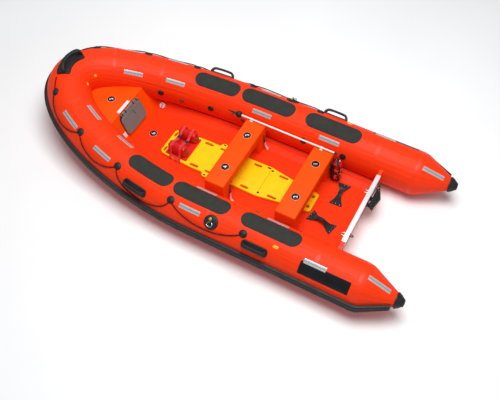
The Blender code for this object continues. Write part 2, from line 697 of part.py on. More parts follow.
def make_pads():
    for side_name, side in (("port", 1), ("starboard", -1)):
        for place, aft, forward in PADS:
            name = f"pad_{side_name}_{place}"
            half_run = (forward - aft) / 2
            data = tube_patch(name, (aft + forward) / 2, side, PAD_AROUND, half_run, PAD_HALF_ANGLE, 0.092,
                              0.0016, PAD_THICKNESS, rows=10, columns=6)
            piece(name, data, "pad")


def make_handle(name, run, side, around, half_length, rise):
    """Moulded handle: a base bonded to the tube and a grip that leaves room for the fingers."""
    base = tube_patch(name, run, side, around, half_length, 11.5, 0.045, 0.0009, 0.010, rows=8, columns=4)
    handle = piece(name, base, "black")
    points = []
    for part, height in ((-0.86, 0.004), (-0.80, 0.030), (-0.68, rise), (0.0, rise + 0.004), (0.68, rise), (0.80, 0.030), (0.86, 0.004)):
        points.append(on_tube(run + part * half_length, side, around, height)[0])
    grip = cutter(name + "_grip", curve_mesh(wire(name + "_grip", points, 0.013, 2)))
    combine(handle, grip, "UNION")


def make_handles():
    for side_name, side in (("port", 1), ("starboard", -1)):
        for place, run in HANDLE_RUNS:
            make_handle(f"handle_{side_name}_{place}", run, side, HANDLE_AROUND, 0.145, 0.050)
    make_bow_handle()


def make_bow_handle():
    """Towing and lifting handle across the stem, on the crown of the bow tube."""
    half_length, base_steps = 0.15, 8

    def over_stem(offset, around, lift):
        side = 1 if offset <= 0 else -1
        return on_tube(STEM_RUN - abs(offset), side, around, lift)[0]

    sections = []
    for row in range(base_steps + 1):
        offset = -half_length + 2 * half_length * row / base_steps
        under = [over_stem(offset, angle, 0.0011) for angle in (-14, -5, 5, 14, 23)]
        over = [over_stem(offset, angle, 0.014) for angle in (23, 14, 5, -5, -14)]
        sections.append(under + over)
    handle = piece("bow_handle", loft("bow_handle", sections), "black")
    # Place along the grip as a part of the half-length, height over the skin
    grip = ((-0.86, 0.004), (-0.80, 0.036), (-0.66, 0.058), (0.0, 0.062), (0.66, 0.058), (0.80, 0.036), (0.86, 0.004))
    points = [over_stem(part * half_length, 5.0, height) for part, height in grip]
    combine(handle, cutter("bow_handle_grip", curve_mesh(wire("bow_handle_grip", points, 0.017, 3))), "UNION")


def grab_route(side):
    """Points of one grab line: through each patch, and slack down the tube's side between them."""
    points = []
    stops = [(GRAB_RUNS[0] - 0.035, GRAB_AROUND), *((run, GRAB_AROUND) for run in GRAB_RUNS), (GRAB_END_RUN, 22.0)]
    for (start, start_angle), (end, end_angle) in zip(stops, stops[1:]):
        short = end - start < 0.3
        steps = 3 if short else 10
        sag, fullness = GRAB_SAG_BY_HANDLE if start < HANDLE_RUNS[1][1] < end else GRAB_SAG
        for step in range(steps):
            part = (1 - math.cos(math.pi * step / steps)) / 2
            around = start_angle + (end_angle - start_angle) * part
            around += 0.0 if short else sag * math.sin(math.pi * part) ** fullness
            points.append(on_tube(start + (end - start) * part, side, around, ROPE_RADIUS + 0.0022)[0])
    points.append(on_tube(*stops[-1][:1], side, stops[-1][1], ROPE_RADIUS + 0.0022)[0])
    return points


def make_grab_lines(collar):
    """One grab line a side, with the round patches that carry it fused to it."""
    for side_name, side in (("port", 1), ("starboard", -1)):
        name = "grab_line_" + side_name
        line = piece(name, smooth(curve_mesh(wire(name, grab_route(side), ROPE_RADIUS, 1)), 80.0), "rope")
        for number, run in enumerate(GRAB_RUNS):
            foot, out = on_tube(run, side, GRAB_AROUND, -PATCH_SINK)
            patch = rod(f"{name}_patch_{number}", foot, foot + out * (PATCH_SINK + PATCH_HEIGHT), PATCH_RADIUS, 0.028, sides=18)
            combine(line, cutter(f"{name}_patch_{number}", patch), "UNION")
        combine(line, collar, "DIFFERENCE")


def make_rings(collar):
    """Towing ring patch on each side: a bonded disc with a strap loop that holds a steel ring."""
    for side_name, side in (("port", 1), ("starboard", -1)):
        foot, out = on_tube(RING_RUN, side, RING_AROUND, 0.0005)
        name = "ring_patch_" + side_name
        patch = piece(name, rod(name, foot - out * RING_PATCH_SINK, foot + out * 0.010, 0.078, 0.068, sides=28), "black")
        combine(patch, collar, "DIFFERENCE")
        forward = tube_frame(RING_RUN, side)[3]
        across = out.cross(forward).normalized()
        bar_centre = foot + out * 0.016
        loop = rod(name + "_loop", bar_centre - forward * 0.008, bar_centre + forward * 0.008, 0.010, sides=12)
        combine(patch, cutter(name + "_loop", loop), "UNION")
        bore = rod(name + "_bore", bar_centre - forward * 0.03, bar_centre + forward * 0.03, 0.0062, sides=12)
        combine(patch, cutter(name + "_bore", bore), "DIFFERENCE")
        points = []
        for step in range(14):
            angle = 2 * math.pi * step / 14
            along = 0.027 * math.sin(angle)
            down = 0.024 * (1 - math.cos(angle))
            tilt = across if across.z < 0 else -across
            points.append(bar_centre + forward * along + (tilt * 0.95 + out * 0.22) * down)
        piece("ring_" + side_name, curve_mesh(wire("ring_" + side_name, points, 0.0038, 2, cyclic=True)), "steel")


def make_stretcher():
    """Folding spine board on the sole, in two halves that meet at the fold, with hand slots through them."""
    middle = SOLE_Z + GAP + STRETCHER_THICKNESS / 2
    for name, low, high in (("stretcher_foot", STRETCHER_FOOT, STRETCHER_FOLD - GAP / 2),
                            ("stretcher_head", STRETCHER_FOLD + GAP / 2, STRETCHER_HEAD)):
        half = [(station, width) for station, width in BOARD_OUTLINE if low < station < high]
        first, last = board_half_width(low), board_half_width(high)
        port = [(low, first), *half, (high, last)]
        outline = [(sta(station), width) for station, width in port]
        outline += [(sta(station), -width) for station, width in reversed(port)]
        holes = []
        for station, half_length, half_width, inset in HAND_SLOTS:
            if low < station < high:
                for side in (1, -1):
                    y = side * (board_half_width(station) - inset)
                    holes.append(slot_outline(sta(station), y, half_length, half_width))
        station, y, half_length, half_width = HEAD_GRIPS
        if low < station < high:
            for side in (1, -1):
                holes.append([(sta(station) + across, side * y + along)
                              for along, across in slot_outline(0.0, 0.0, half_length, half_width)])
        piece(name, placed(flat_plate(name, outline, STRETCHER_THICKNESS, holes), Matrix.Translation((0, 0, middle))), "yellow")


def board_half_width(station):
    for (low, first), (high, second) in zip(BOARD_OUTLINE, BOARD_OUTLINE[1:]):
        if low <= station <= high:
            return first + (second - first) * (station - low) / (high - low)
    return BOARD_OUTLINE[-1][1]


def make_head_immobiliser():
    """Two padded head blocks and the base pad under them, on the stretcher's head end."""
    top = SOLE_Z + STRETCHER_THICKNESS + 2 * GAP
    piece("head_pad", box("head_pad", (sta(1.985), -0.178, top), (sta(2.268), 0.178, top + 0.025), 0.008), "red")
    for name, side in (("head_block_port", 1), ("head_block_starboard", -1)):
        low_y, high_y = sorted((side * 0.058, side * 0.164))
        piece(name, box(name, (sta(2.000), low_y, top + 0.025 + GAP), (sta(2.248), high_y, top + 0.160), 0.018), "red")


def make_extinguisher():
    """Fire extinguisher standing on the sole behind the aft thwart, held by a bracket."""
    x, y = sta(0.437), -0.430
    foot = SOLE_Z + 0.038
    profile = ((0.0, 0.0), (0.047, 0.0), (0.054, 0.010), (0.054, 0.225), (0.043, 0.252), (0.018, 0.268), (0.0, 0.268))
    bm = bmesh.new()
    verts = [bm.verts.new((radius, 0.0, height)) for radius, height in reversed(profile)]
    for first, second in zip(verts, verts[1:]):
        bm.edges.new((first, second))
    data = bpy.data.meshes.new("extinguisher_bottle")
    bm.to_mesh(data)
    bm.free()
    bottle = piece("extinguisher_bottle", data, "red")
    bottle.location = (x, y, foot)
    turn = bottle.modifiers.new("turn", "SCREW")
    turn.axis = "Z"
    turn.steps = turn.render_steps = 24
    turn.use_merge_vertices = True
    turn.merge_threshold = 0.0001
    head_foot = foot + 0.268 + GAP
    head = piece("extinguisher_head", rod("extinguisher_head", (x, y, head_foot), (x, y, head_foot + 0.032), 0.015, sides=12), "black")
    lever = box("lever", (x - 0.010, y - 0.012, head_foot + 0.020), (x + 0.010, y + 0.085, head_foot + 0.040), 0.003)
    combine(head, cutter("extinguisher_lever", lever), "UNION")
    band = piece("extinguisher_bracket", box("bracket", (x - 0.062, y - 0.062, foot + 0.10), (sta(0.508) - GAP, y + 0.062, foot + 0.135), 0.004), "black")
    hole = rod("bracket_hole", (x, y, foot + 0.05), (x, y, foot + 0.2), 0.054 + GAP, sides=24)
    combine(band, cutter("bracket_hole", hole), "DIFFERENCE")


def make_boathook():
    """Boathook with a white shaft, stowed along the starboard ends of the thwarts in two clips."""
    y, z, radius = -0.462, THWART_TOP + GAP + 0.018, 0.0135
    piece("boathook_shaft", rod("boathook_shaft", (sta(0.475), y, z), (sta(1.660), y, z), radius, sides=14), "white")
    head = rod("boathook_head", (sta(1.660) + GAP, y, z), (sta(1.800), y, z), 0.019, 0.008, sides=14)
    piece("boathook_head", head, "black")
    for name, station in (("boathook_clip_aft", 0.655), ("boathook_clip_forward", 1.500)):
        clip = piece(name, box(name, (sta(station - 0.022), y - 0.021, THWART_TOP + GAP), (sta(station + 0.022), y + 0.021, z + 0.019), 0.003), "black")
        bore = rod(name + "_bore", (sta(station - 0.05), y, z), (sta(station + 0.05), y, z), radius + GAP, sides=14)
        combine(clip, cutter(name + "_bore", bore), "DIFFERENCE")


def make_foot_straps():
    """Webbing foot straps on the aft sole: two anchor tabs and a raised band between them."""
    rows = (("foot_strap_port", Vector((0.330, 0.165)), math.radians(-13)),
            ("foot_strap_starboard", Vector((0.302, -0.256)), math.radians(93)))
    for name, middle, turn in rows:
        # Distance from the strap's middle, height of its centre, half-width
        half_profile = ((0.000, 0.056, 0.024), (0.045, 0.045, 0.028), (0.085, 0.010, 0.046), (0.100, 0.004, 0.058), (0.150, 0.004, 0.074))
        profile = [(-along, height, half) for along, height, half in reversed(half_profile[1:])] + list(half_profile)
        thick = 0.0032
        sections = []
        for along, height, half in profile:
            corners = ((-half, -thick), (half, -thick), (half, thick), (-half, thick))
            section = []
            for across, level in corners:
                px = along * math.cos(turn) - across * math.sin(turn)
                py = along * math.sin(turn) + across * math.cos(turn)
                section.append(Vector((sta(middle.x) + px, middle.y + py, SOLE_Z + GAP - 0.0008 + height + level)))
            sections.append(section)
        piece(name, loft(name, sections), "black")


def eye_points(half_width, height):
    """A U from foot to foot, in the y-z plane of its own placement."""
    return [Vector((0.0, half_width * across, height * up)) for across, up in
            ((-1.0, 0.08), (-1.0, 0.60), (-0.65, 0.88), (0.0, 1.0), (0.65, 0.88), (1.0, 0.60), (1.0, 0.08))]


def liner_point(station, y, side):
    """A point of the liner's slope between the sole and its edge."""
    sole_half, sole_z, edge_half, edge_z = hull_row(station)[4:]
    rise = (edge_z - sole_z) * (y - sole_half) / (edge_half - sole_half)
    return Vector((sta(station), side * y, sole_z + rise))


def make_lifting_eyes():
    """Four lifting eyes: a round cup with a steel U-bolt, two on the liner by the locker and two on the transom."""
    for side_name, side in (("port", 1), ("starboard", -1)):
        foot = liner_point(BOW_EYE_STATION, BOW_EYE_Y, side)
        along = liner_point(BOW_EYE_STATION + 0.03, BOW_EYE_Y, side) - foot
        across = liner_point(BOW_EYE_STATION, BOW_EYE_Y + side * 0.03, side) - foot
        out = along.cross(across).normalized()
        bow = Matrix.Translation(foot + out * BOW_EYE_LIFT) @ out.to_track_quat("Z", "X").to_matrix().to_4x4()
        stern = (rake_matrix() @ Matrix.Translation((sta(TRANSOM_THICKNESS), side * 0.300, 0.235))
                 @ Matrix(((0, 0, 1), (1, 0, 0), (0, 1, 0))).to_4x4())
        for end, base in (("bow", bow), ("stern", stern)):
            name = f"lifting_eye_{end}_{side_name}"
            cup = piece(name, placed(rod(name, (0, 0, GAP), (0, 0, 0.010), 0.034, 0.031, sides=20), base), "white")
            bolt = placed(wire(name + "_bolt", eye_points(0.017, 0.049), 0.0055, 2), base)
            combine(cup, cutter(name + "_bolt", bolt), "UNION")


def make_stern_fittings():
    """Boarding step with a splayed tread, and a small lashing eye, on the transom cap's aft flange."""
    back = sta(-GAP * 2 - CAP_SHEET)
    bracket = box("boarding_step", (back - 0.060, -0.225, 0.222), (back, -0.122, 0.300), 0.006)
    step = piece("boarding_step", placed(bracket, rake_matrix()), "black")
    tread = flat_plate("step_tread", [(sta(station), y) for station, y in STEP_OUTLINE], 0.030)
    combine(step, cutter("step_tread", placed(tread, Matrix.Translation((0, 0, 0.258)))), "UNION")
    base = (rake_matrix() @ Matrix.Translation((back, 0.320, 0.290))
            @ Matrix(((0, 0, -1), (1, 0, 0), (0, -1, 0))).to_4x4())
    eye = piece("stern_eye", placed(box("stern_eye", (-0.012, -0.028, 0.0), (0.012, 0.028, 0.005), 0.002), base), "black")
    loop = placed(wire("stern_eye_loop", eye_points(0.016, 0.042), 0.005, 2), base)
    combine(eye, cutter("stern_eye_loop", loop), "UNION")


def main():
    collar = make_collar_cutter()
    make_tubes()
    make_cone_caps()
    make_strakes()
    make_hull_and_sole(collar)
    make_transom(collar)
    make_thwarts()
    make_locker(collar)
    make_hatch()
    make_pads()
    make_handles()
    make_grab_lines(collar)
    make_rings(collar)
    make_stretcher()
    make_head_immobiliser()
    make_extinguisher()
    make_boathook()
    make_foot_straps()
    make_lifting_eyes()
    make_stern_fittings()


main()
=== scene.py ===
import math

import bmesh
import bpy
from mathutils import Matrix, Vector


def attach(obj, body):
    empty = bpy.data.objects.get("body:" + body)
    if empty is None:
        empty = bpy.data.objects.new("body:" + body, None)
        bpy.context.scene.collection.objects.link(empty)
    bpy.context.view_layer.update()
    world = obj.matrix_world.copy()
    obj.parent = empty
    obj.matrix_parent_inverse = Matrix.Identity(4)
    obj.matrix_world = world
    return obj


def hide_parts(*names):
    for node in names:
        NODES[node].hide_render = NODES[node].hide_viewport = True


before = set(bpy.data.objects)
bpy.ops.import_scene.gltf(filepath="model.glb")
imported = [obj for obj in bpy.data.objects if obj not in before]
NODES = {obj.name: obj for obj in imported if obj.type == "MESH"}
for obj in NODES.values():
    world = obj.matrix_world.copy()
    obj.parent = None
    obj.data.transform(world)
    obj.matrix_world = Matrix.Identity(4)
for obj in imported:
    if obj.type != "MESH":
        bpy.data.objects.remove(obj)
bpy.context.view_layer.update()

# Daylight studio: the boat lies afloat, so the pale floor is level with its waterline.
# The camera looks down on the port quarter, with the stem towards the upper left.
CAMERA_PLACE = (-2.393, 4.064, 6.260)
CAMERA_AIM = (-0.110, -0.239, -0.779)
CAMERA_ROLL = 0.290
CAMERA_LENS = 50.36
FLOOR_HALF = 40.0
# Softbox: place, aim, side length, power in watts
SOFTBOXES = (
    ((-1.2, 0.4, 8.5), (0.0, 0.0, 0.2), 5.0, 780.0),
    ((4.5, -4.0, 4.0), (0.3, 0.0, 0.2), 4.0, 40.0),
    ((-2.0, 6.0, 3.0), (0.0, 0.4, 0.2), 4.0, 12.0),
)


def add_node(tree, kind, inputs=None, **settings):
    """One node of a shader or geometry tree. Inputs are values, or sockets of other nodes to link from."""
    made = tree.nodes.new(kind)
    for key, value in settings.items():
        setattr(made, key, value)
    for key, value in (inputs or {}).items():
        if isinstance(value, bpy.types.NodeSocket):
            tree.links.new(value, made.inputs[key])
        else:
            made.inputs[key].default_value = value
    return made


def tone(tree, factor, stops):
    """Colours along a factor: rows of position and colour."""
    ramp = add_node(tree, "ShaderNodeValToRGB", {"Fac": factor})
    elements = ramp.color_ramp.elements
    while len(elements) < len(stops):
        elements.new(0.5)
    for element, (position, colour) in zip(elements, stops):
        element.position = position
        element.color = (*colour, 1.0)
    return ramp.outputs["Color"]


def moved(x, y, z):
    return Matrix.Translation((x, y, z))


def turned_by(angle, axis):
    """A turn in degrees about an axis."""
    return Matrix.Rotation(math.radians(angle), 4, axis)


def aim(place, target):
    """Placement of a lamp or camera that looks at a point."""
    turn = (Vector(target) - Vector(place)).to_track_quat("-Z", "Y").to_matrix().to_4x4()
    return Matrix.Translation(place) @ turn


camera = bpy.data.objects.new("camera", bpy.data.cameras.new("camera"))
camera.data.lens = CAMERA_LENS
camera.data.sensor_width = 36.0
camera.data.clip_end = 200.0
camera.matrix_world = aim(CAMERA_PLACE, CAMERA_AIM) @ turned_by(CAMERA_ROLL, "Z")
bpy.context.scene.collection.objects.link(camera)
bpy.context.scene.camera = camera
# Plain colour response, so that the strong orange keeps its depth in bright light.
bpy.context.scene.view_settings.view_transform = "Standard"

for number, (place, target, side_length, power) in enumerate(SOFTBOXES):
    lamp = bpy.data.lights.new(f"softbox_{number}", "AREA")
    lamp.shape = "SQUARE"
    lamp.size = side_length
    lamp.energy = power
    holder = bpy.data.objects.new(lamp.name, lamp)
    holder.matrix_world = aim(place, target)
    bpy.context.scene.collection.objects.link(holder)

sky = bpy.data.worlds.new("soft_daylight")
sky.use_nodes = True
sky.node_tree.nodes["Background"].inputs["Color"].default_value = (0.92, 0.95, 1.0, 1.0)
sky.node_tree.nodes["Background"].inputs["Strength"].default_value = 0.25
bpy.context.scene.world = sky

floor_mesh = bpy.data.meshes.new("floor")
floor_mesh.from_pydata([(x * FLOOR_HALF, y * FLOOR_HALF, 0.0)
                        for x, y in ((-1, -1), (1, -1), (1, 1), (-1, 1))], [], [(0, 1, 2, 3)])
floor = bpy.data.objects.new("floor", floor_mesh)
floor_paint = bpy.data.materials.new("pale_floor")
floor_paint.use_nodes = True
floor_tree = floor_paint.node_tree
floor_shader = floor_tree.nodes["Principled BSDF"]
floor_place = add_node(floor_tree, "ShaderNodeTexCoord")
floor_cloud = add_node(floor_tree, "ShaderNodeTexNoise",
                       {"Vector": floor_place.outputs["Object"], "Scale": 0.7})
floor_tree.links.new(tone(floor_tree, floor_cloud.outputs["Fac"],
                          ((0.3, (0.90, 0.90, 0.90)), (0.7, (0.93, 0.93, 0.93)))),
                     floor_shader.inputs["Base Color"])
floor_shader.inputs["Roughness"].default_value = 0.9
floor_mesh.materials.append(floor_paint)
bpy.context.scene.collection.objects.link(floor)

# Air chambers: three lengths of rubber-coated orange fabric, glued up into one U-shaped tube with a cone at
# each stern end. They meet at two baffles, and the skin keeps a faint lengthwise pull from the air
# pressure.
TRANSOM_X = -1.51
TUBE_RADIUS = 0.242
TUBE_HALF_SPACING = 0.769
TUBE_CENTRE_Z = 0.25
BOW_START = 1.385
BOW_STATION = 3.538
BOW_REACH = BOW_STATION - BOW_START
SHEER_START = 1.64
SHEER_RISE = 0.26
TUBE_JOINT = 1.30
GAP = 0.0003
# Points closer than this are one.
WELD = 0.00001
# Stern cone of the tube: station, radius, rise of its axis
STERN_CONE = ((-0.705, 0.076, 0.030), (-0.430, 0.218, 0.004), (-0.395, 0.233, 0.001), (-0.350, 0.240, 0.0),
              (-0.300, 0.242, 0.0))
TUBE_SIDES = 96
SIDES = (("port", 1), ("starboard", -1))


def sta(station):
    """X of a station, which is measured forward from the aft face of the transom."""
    return TRANSOM_X + station


def sheer(station):
    """Height of the tube's middle at a station."""
    part = max(0.0, station - SHEER_START) / (BOW_STATION - SHEER_START)
    return TUBE_CENTRE_Z + SHEER_RISE * part ** 2


BOW_STEPS = 800


def measure_bow():
    """Lengths along the tube, called runs, against angles on the bow's ellipse."""
    rows = [(BOW_START, 0.0)]
    for step in range(BOW_STEPS):
        angle = math.pi / 2 * (step + 0.5) / BOW_STEPS
        length = math.hypot(BOW_REACH * math.cos(angle), TUBE_HALF_SPACING * math.sin(angle))
        rows.append((rows[-1][0] + length * math.pi / 2 / BOW_STEPS, math.pi / 2 * (step + 1) / BOW_STEPS))
    return rows


BOW_TABLE = measure_bow()
STEM_RUN = BOW_TABLE[-1][0]


def bow_angle(run):
    """Angle on the bow's ellipse at a run."""
    if run <= BOW_START:
        return 0.0
    low, high = 0, len(BOW_TABLE) - 1
    while high - low > 1:
        middle = (low + high) // 2
        if BOW_TABLE[middle][0] <= run:
            low = middle
        else:
            high = middle
    (start, first), (end, second) = BOW_TABLE[low], BOW_TABLE[high]
    return first + (second - first) * min(1.0, (run - start) / (end - start))


def tube_frame(run, side):
    """Middle of the tube at a run, its outboard, upward and forward directions, and its radius.
    A run past the stem goes on down the other side."""
    if run > STEM_RUN:
        run, side = 2 * STEM_RUN - run, -side
    angle = bow_angle(run)
    station = run if run <= BOW_START else BOW_START + BOW_REACH * math.sin(angle)
    radius, rise = TUBE_RADIUS, 0.0
    for (low, first, below), (high, second, above) in zip(STERN_CONE, STERN_CONE[1:]):
        if run < high:
            part = max(0.0, (run - low) / (high - low))
            radius, rise = first + (second - first) * part, below + (above - below) * part
            break
    centre = Vector((sta(station), side * TUBE_HALF_SPACING * math.cos(angle), sheer(station) + rise))
    outboard = Vector((math.sin(angle) / BOW_REACH, side * math.cos(angle) / TUBE_HALF_SPACING,
                       0.0)).normalized()
    part = max(0.0, station - SHEER_START) / (BOW_STATION - SHEER_START)
    slope = 2 * SHEER_RISE * part / (BOW_STATION - SHEER_START)
    forward = Vector((BOW_REACH * math.cos(angle), -side * TUBE_HALF_SPACING * math.sin(angle),
                      0.0)).normalized()
    forward.z = slope * forward.x
    forward.normalize()
    upward = outboard.cross(forward) if side < 0 else forward.cross(outboard)
    return centre, outboard, upward, forward, radius


def on_tube(run, side, around, lift=0.0):
    """A point over the tube's skin, at an angle in degrees outboard of the crown, and the way out there."""
    centre, outboard, upward, forward, radius = tube_frame(run, side)
    out = outboard * math.sin(math.radians(around)) + upward * math.cos(math.radians(around))
    return centre + out * (radius + lift), out


def turns(count):
    """Angles that go evenly once round."""
    return [2 * math.pi * step / count for step in range(count)]


def axes(along, across, out):
    """A turn that takes local x, y and z to three given ways."""
    return Matrix((along, across, out)).transposed().to_4x4()


def tube_ring(run, side, sides, sink=0.0):
    """Points round the tube's skin at a run, or sunk under it."""
    centre, outboard, upward, forward, radius = tube_frame(run, side)
    ways = [outboard * math.sin(turn) + upward * math.cos(turn) for turn in turns(sides)]
    return [centre + way * (radius - sink) for way in ways]


def lofted(rings, closed=True):
    """A closed body through rings with the same number of points, its ends filled from their middles."""
    bm = bmesh.new()
    made = [[bm.verts.new(point) for point in ring] for ring in rings]
    for ring, following in zip(made, made[1:]):
        for index in range(len(ring)):
            after = (index + 1) % len(ring)
            bm.faces.new((ring[index], ring[after], following[after], following[index]))
    if closed:
        for ring in (made[0], made[-1]):
            middle = bm.verts.new(sum((vert.co for vert in ring), Vector()) / len(ring))
            for index in range(len(ring)):
                bm.faces.new((ring[index], ring[(index + 1) % len(ring)], middle))
    return bm


def hoop(rings):
    """A closed band through rings that go once round, with no seam."""
    bm = lofted(rings + [rings[0]], closed=False)
    bmesh.ops.remove_doubles(bm, verts=bm.verts, dist=WELD)
    return bm


def add_piece(name, shape, finish, at=None, body="boat", replaced=None, crease=40.0):
    """A named piece from mesh code or a mesh: moved to its place, smooth but for its creases, on its body.
    It takes the place of the solid of its name, if there is one."""
    material, slot = finish
    replaced = replaced or [name] * (name in NODES)
    mesh = shape
    name += "_finished" if name in NODES else ""
    if isinstance(shape, bmesh.types.BMesh):
        if at:
            shape.transform(at)
        bmesh.ops.recalc_face_normals(shape, faces=shape.faces)
        mesh = bpy.data.meshes.new(name)
        shape.to_mesh(mesh)
        shape.free()
    mesh.materials.clear()
    mesh.materials.append(material)
    mesh.shade_smooth()
    mesh.set_sharp_from_angle(angle=math.radians(crease))
    piece = bpy.data.objects.new(name, mesh)
    bpy.context.scene.collection.objects.link(piece)
    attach(piece, body)
    if replaced:
        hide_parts(*replaced)
    return piece


def start_finish(name, colour, roughness, metallic, coat=0.0, sheen=0.0, shine=0.5):
    """A material with its even values set on the shader, and the place on the piece that patterns read."""
    material = bpy.data.materials.new(name)
    material.use_nodes = True
    tree = material.node_tree
    shader = tree.nodes["Principled BSDF"]
    shader.inputs["Base Color"].default_value = (*colour, 1.0)
    shader.inputs["Roughness"].default_value = roughness
    shader.inputs["Metallic"].default_value = metallic
    shader.inputs["Coat Weight"].default_value = coat
    shader.inputs["Sheen Weight"].default_value = sheen
    shader.inputs["Specular IOR Level"].default_value = shine
    material.diffuse_color = (*colour, 1.0)
    place = add_node(tree, "ShaderNodeTexCoord").outputs["Object"]
    return material, tree, shader, place


def stretched(tree, place, scale):
    """A pattern's place, scaled along each axis."""
    return add_node(tree, "ShaderNodeMapping", {"Vector": place, "Scale": scale}).outputs["Vector"]


def fine_relief(distance, scale, detail=2.0, rough=0.5, stretch=None):
    """Relief for a finish from fine noise, stretched where the surface was drawn or brushed."""
    def relief(tree, place):
        where = stretched(tree, place, stretch) if stretch else place
        noise = add_node(tree, "ShaderNodeTexNoise", {"Vector": where, "Scale": scale, "Detail": detail,
                                                      "Roughness": rough})
        return noise.outputs["Fac"], distance
    return relief


def cell_relief(distance, scale, feature="F1"):
    """Relief for a finish from small cells."""
    def relief(tree, place):
        cells = add_node(tree, "ShaderNodeTexVoronoi", {"Vector": place, "Scale": scale}, feature=feature)
        return cells.outputs["Distance"], distance
    return relief


def shade(colour, amount):
    """A colour made lighter or darker by a part of itself."""
    return tuple(min(1.0, value * (1.0 + amount)) for value in colour)


def weathered(name, slot, colour, roughness, *, metallic=0.0, coat=0.0, sheen=0.0, shine=0.5, cloud=5.0,
              change=0.10, grain=700.0, depth=0.0002, gloss=0.10, extra=None):
    """A finish whose colour and gloss drift slowly, with a fine grain, and any relief that is added to it.
    It is a material with the name of its slot."""
    material, tree, shader, place = start_finish(name, colour, roughness, metallic, coat, sheen, shine)
    drift = add_node(tree, "ShaderNodeTexNoise",
                     {"Vector": place, "Scale": cloud, "Detail": 6.0, "Roughness": 0.6})
    fine = add_node(tree, "ShaderNodeTexNoise", {"Vector": place, "Scale": grain, "Detail": 2.0})
    stops = ((0.30, shade(colour, -change)), (0.55, colour), (0.75, shade(colour, change)))
    tree.links.new(tone(tree, drift.outputs["Fac"], stops), shader.inputs["Base Color"])
    dull = add_node(tree, "ShaderNodeMapRange",
                    {"Value": drift.outputs["Fac"], "From Min": 0.3, "From Max": 0.7,
                     "To Min": max(0.02, roughness - gloss), "To Max": min(1.0, roughness + gloss)})
    tree.links.new(dull.outputs["Result"], shader.inputs["Roughness"])
    relief = add_node(tree, "ShaderNodeBump",
                      {"Height": fine.outputs["Fac"], "Distance": depth, "Strength": 1.0})
    if extra:
        height, distance = extra(tree, place)
        relief = add_node(tree, "ShaderNodeBump", {"Height": height, "Distance": distance, "Strength": 1.0,
                                                   "Normal": relief.outputs["Normal"]})
    tree.links.new(relief.outputs["Normal"], shader.inputs["Normal"])
    return material, slot


TUBE_ORANGE = (0.92, 0.040, 0.003)


def skin_pull(tree, place):
    """Faint lengthwise pulls of the blown-up skin, along the piece's own map of run and girth."""
    along = add_node(tree, "ShaderNodeUVMap", uv_map="skin").outputs["UV"]
    pulls = add_node(tree, "ShaderNodeTexNoise",
                     {"Vector": stretched(tree, along, (0.7, 26.0, 1.0)), "Scale": 1.0, "Detail": 3.0,
                      "Roughness": 0.5})
    return pulls.outputs["Fac"], 0.010


tube_skin = weathered("coated_fabric", "tube_skin", TUBE_ORANGE, 0.50, shine=0.16, cloud=2.2, change=0.07,
                      grain=900.0, depth=0.00025, gloss=0.06, extra=skin_pull)


def chamber(name, runs, side):
    """One air chamber between its two ends, with a map of run and girth for the skin's pattern."""
    bm = lofted([tube_ring(run, side, TUBE_SIDES) for run in runs])
    piece = add_piece(name, bm, tube_skin)
    skin = piece.data.uv_layers.new(name="skin")
    count = len(runs) * TUBE_SIDES
    for face in piece.data.polygons:
        numbers = [piece.data.loops[loop].vertex_index for loop in face.loop_indices]
        girths = [number % TUBE_SIDES for number in numbers if number < count]
        seam = max(girths) - min(girths) > TUBE_SIDES / 2
        for loop, number in zip(face.loop_indices, numbers):
            if number >= count:
                skin.data[loop].uv = (runs[0], 0.0)
                continue
            girth = number % TUBE_SIDES
            if seam and girth < TUBE_SIDES / 2:
                girth += TUBE_SIDES
            skin.data[loop].uv = (runs[number // TUBE_SIDES],
                                  girth / TUBE_SIDES * 2 * math.pi * TUBE_RADIUS)
    return piece


def even_steps(first, last, step):
    count = max(2, round(abs(last - first) / step))
    return [first + (last - first) * number / count for number in range(count + 1)]


CONE_RUNS = [row[0] for row in STERN_CONE]
side_runs = even_steps(CONE_RUNS[0], CONE_RUNS[1], 0.035)[:-1]
side_runs += [-0.430, -0.4125, -0.395, -0.3725, -0.350, -0.325]
side_runs += even_steps(CONE_RUNS[-1], TUBE_JOINT - GAP, 0.04)
for side_name, side in SIDES:
    chamber("tube_" + side_name, side_runs, side)
chamber("tube_bow", even_steps(TUBE_JOINT, 2 * STEM_RUN - TUBE_JOINT, 0.03), 1)

# Cone end caps: thick moulded rubber cups, glued over the ends of the stern cones, with a lip at the rim
# and two rings moulded round the nose to take knocks.
CAP_PROFILE = ((0.086, 0.0), (0.086, 0.022), (0.083, 0.034), (0.077, 0.041), (0.066, 0.046), (0.062, 0.052),
               (0.058, 0.053), (0.050, 0.059), (0.044, 0.066), (0.040, 0.067), (0.034, 0.071),
               (0.022, 0.077), (0.018, 0.081), (0.012, 0.084), (0.0004, 0.084), (0.0003, 0.070),
               (0.0003, 0.0))


def turned(profile, steps=48):
    """A closed body turned about local Z from rows of height and radius that start and end on the axis."""
    bm = bmesh.new()
    rings = []
    for height, radius in profile:
        if radius <= 0.0:
            rings.append([bm.verts.new((0.0, 0.0, height))])
        else:
            rings.append([bm.verts.new((radius * math.cos(turn), radius * math.sin(turn), height))
                          for turn in turns(steps)])
    for ring, following in zip(rings, rings[1:]):
        for step in range(steps):
            after = (step + 1) % steps
            corners = [ring[step % len(ring)], ring[after % len(ring)], following[after % len(following)],
                       following[step % len(following)]]
            corners = [corner for place, corner in enumerate(corners) if corner not in corners[:place]]
            if len(corners) > 2:
                bm.faces.new(corners)
    return bm


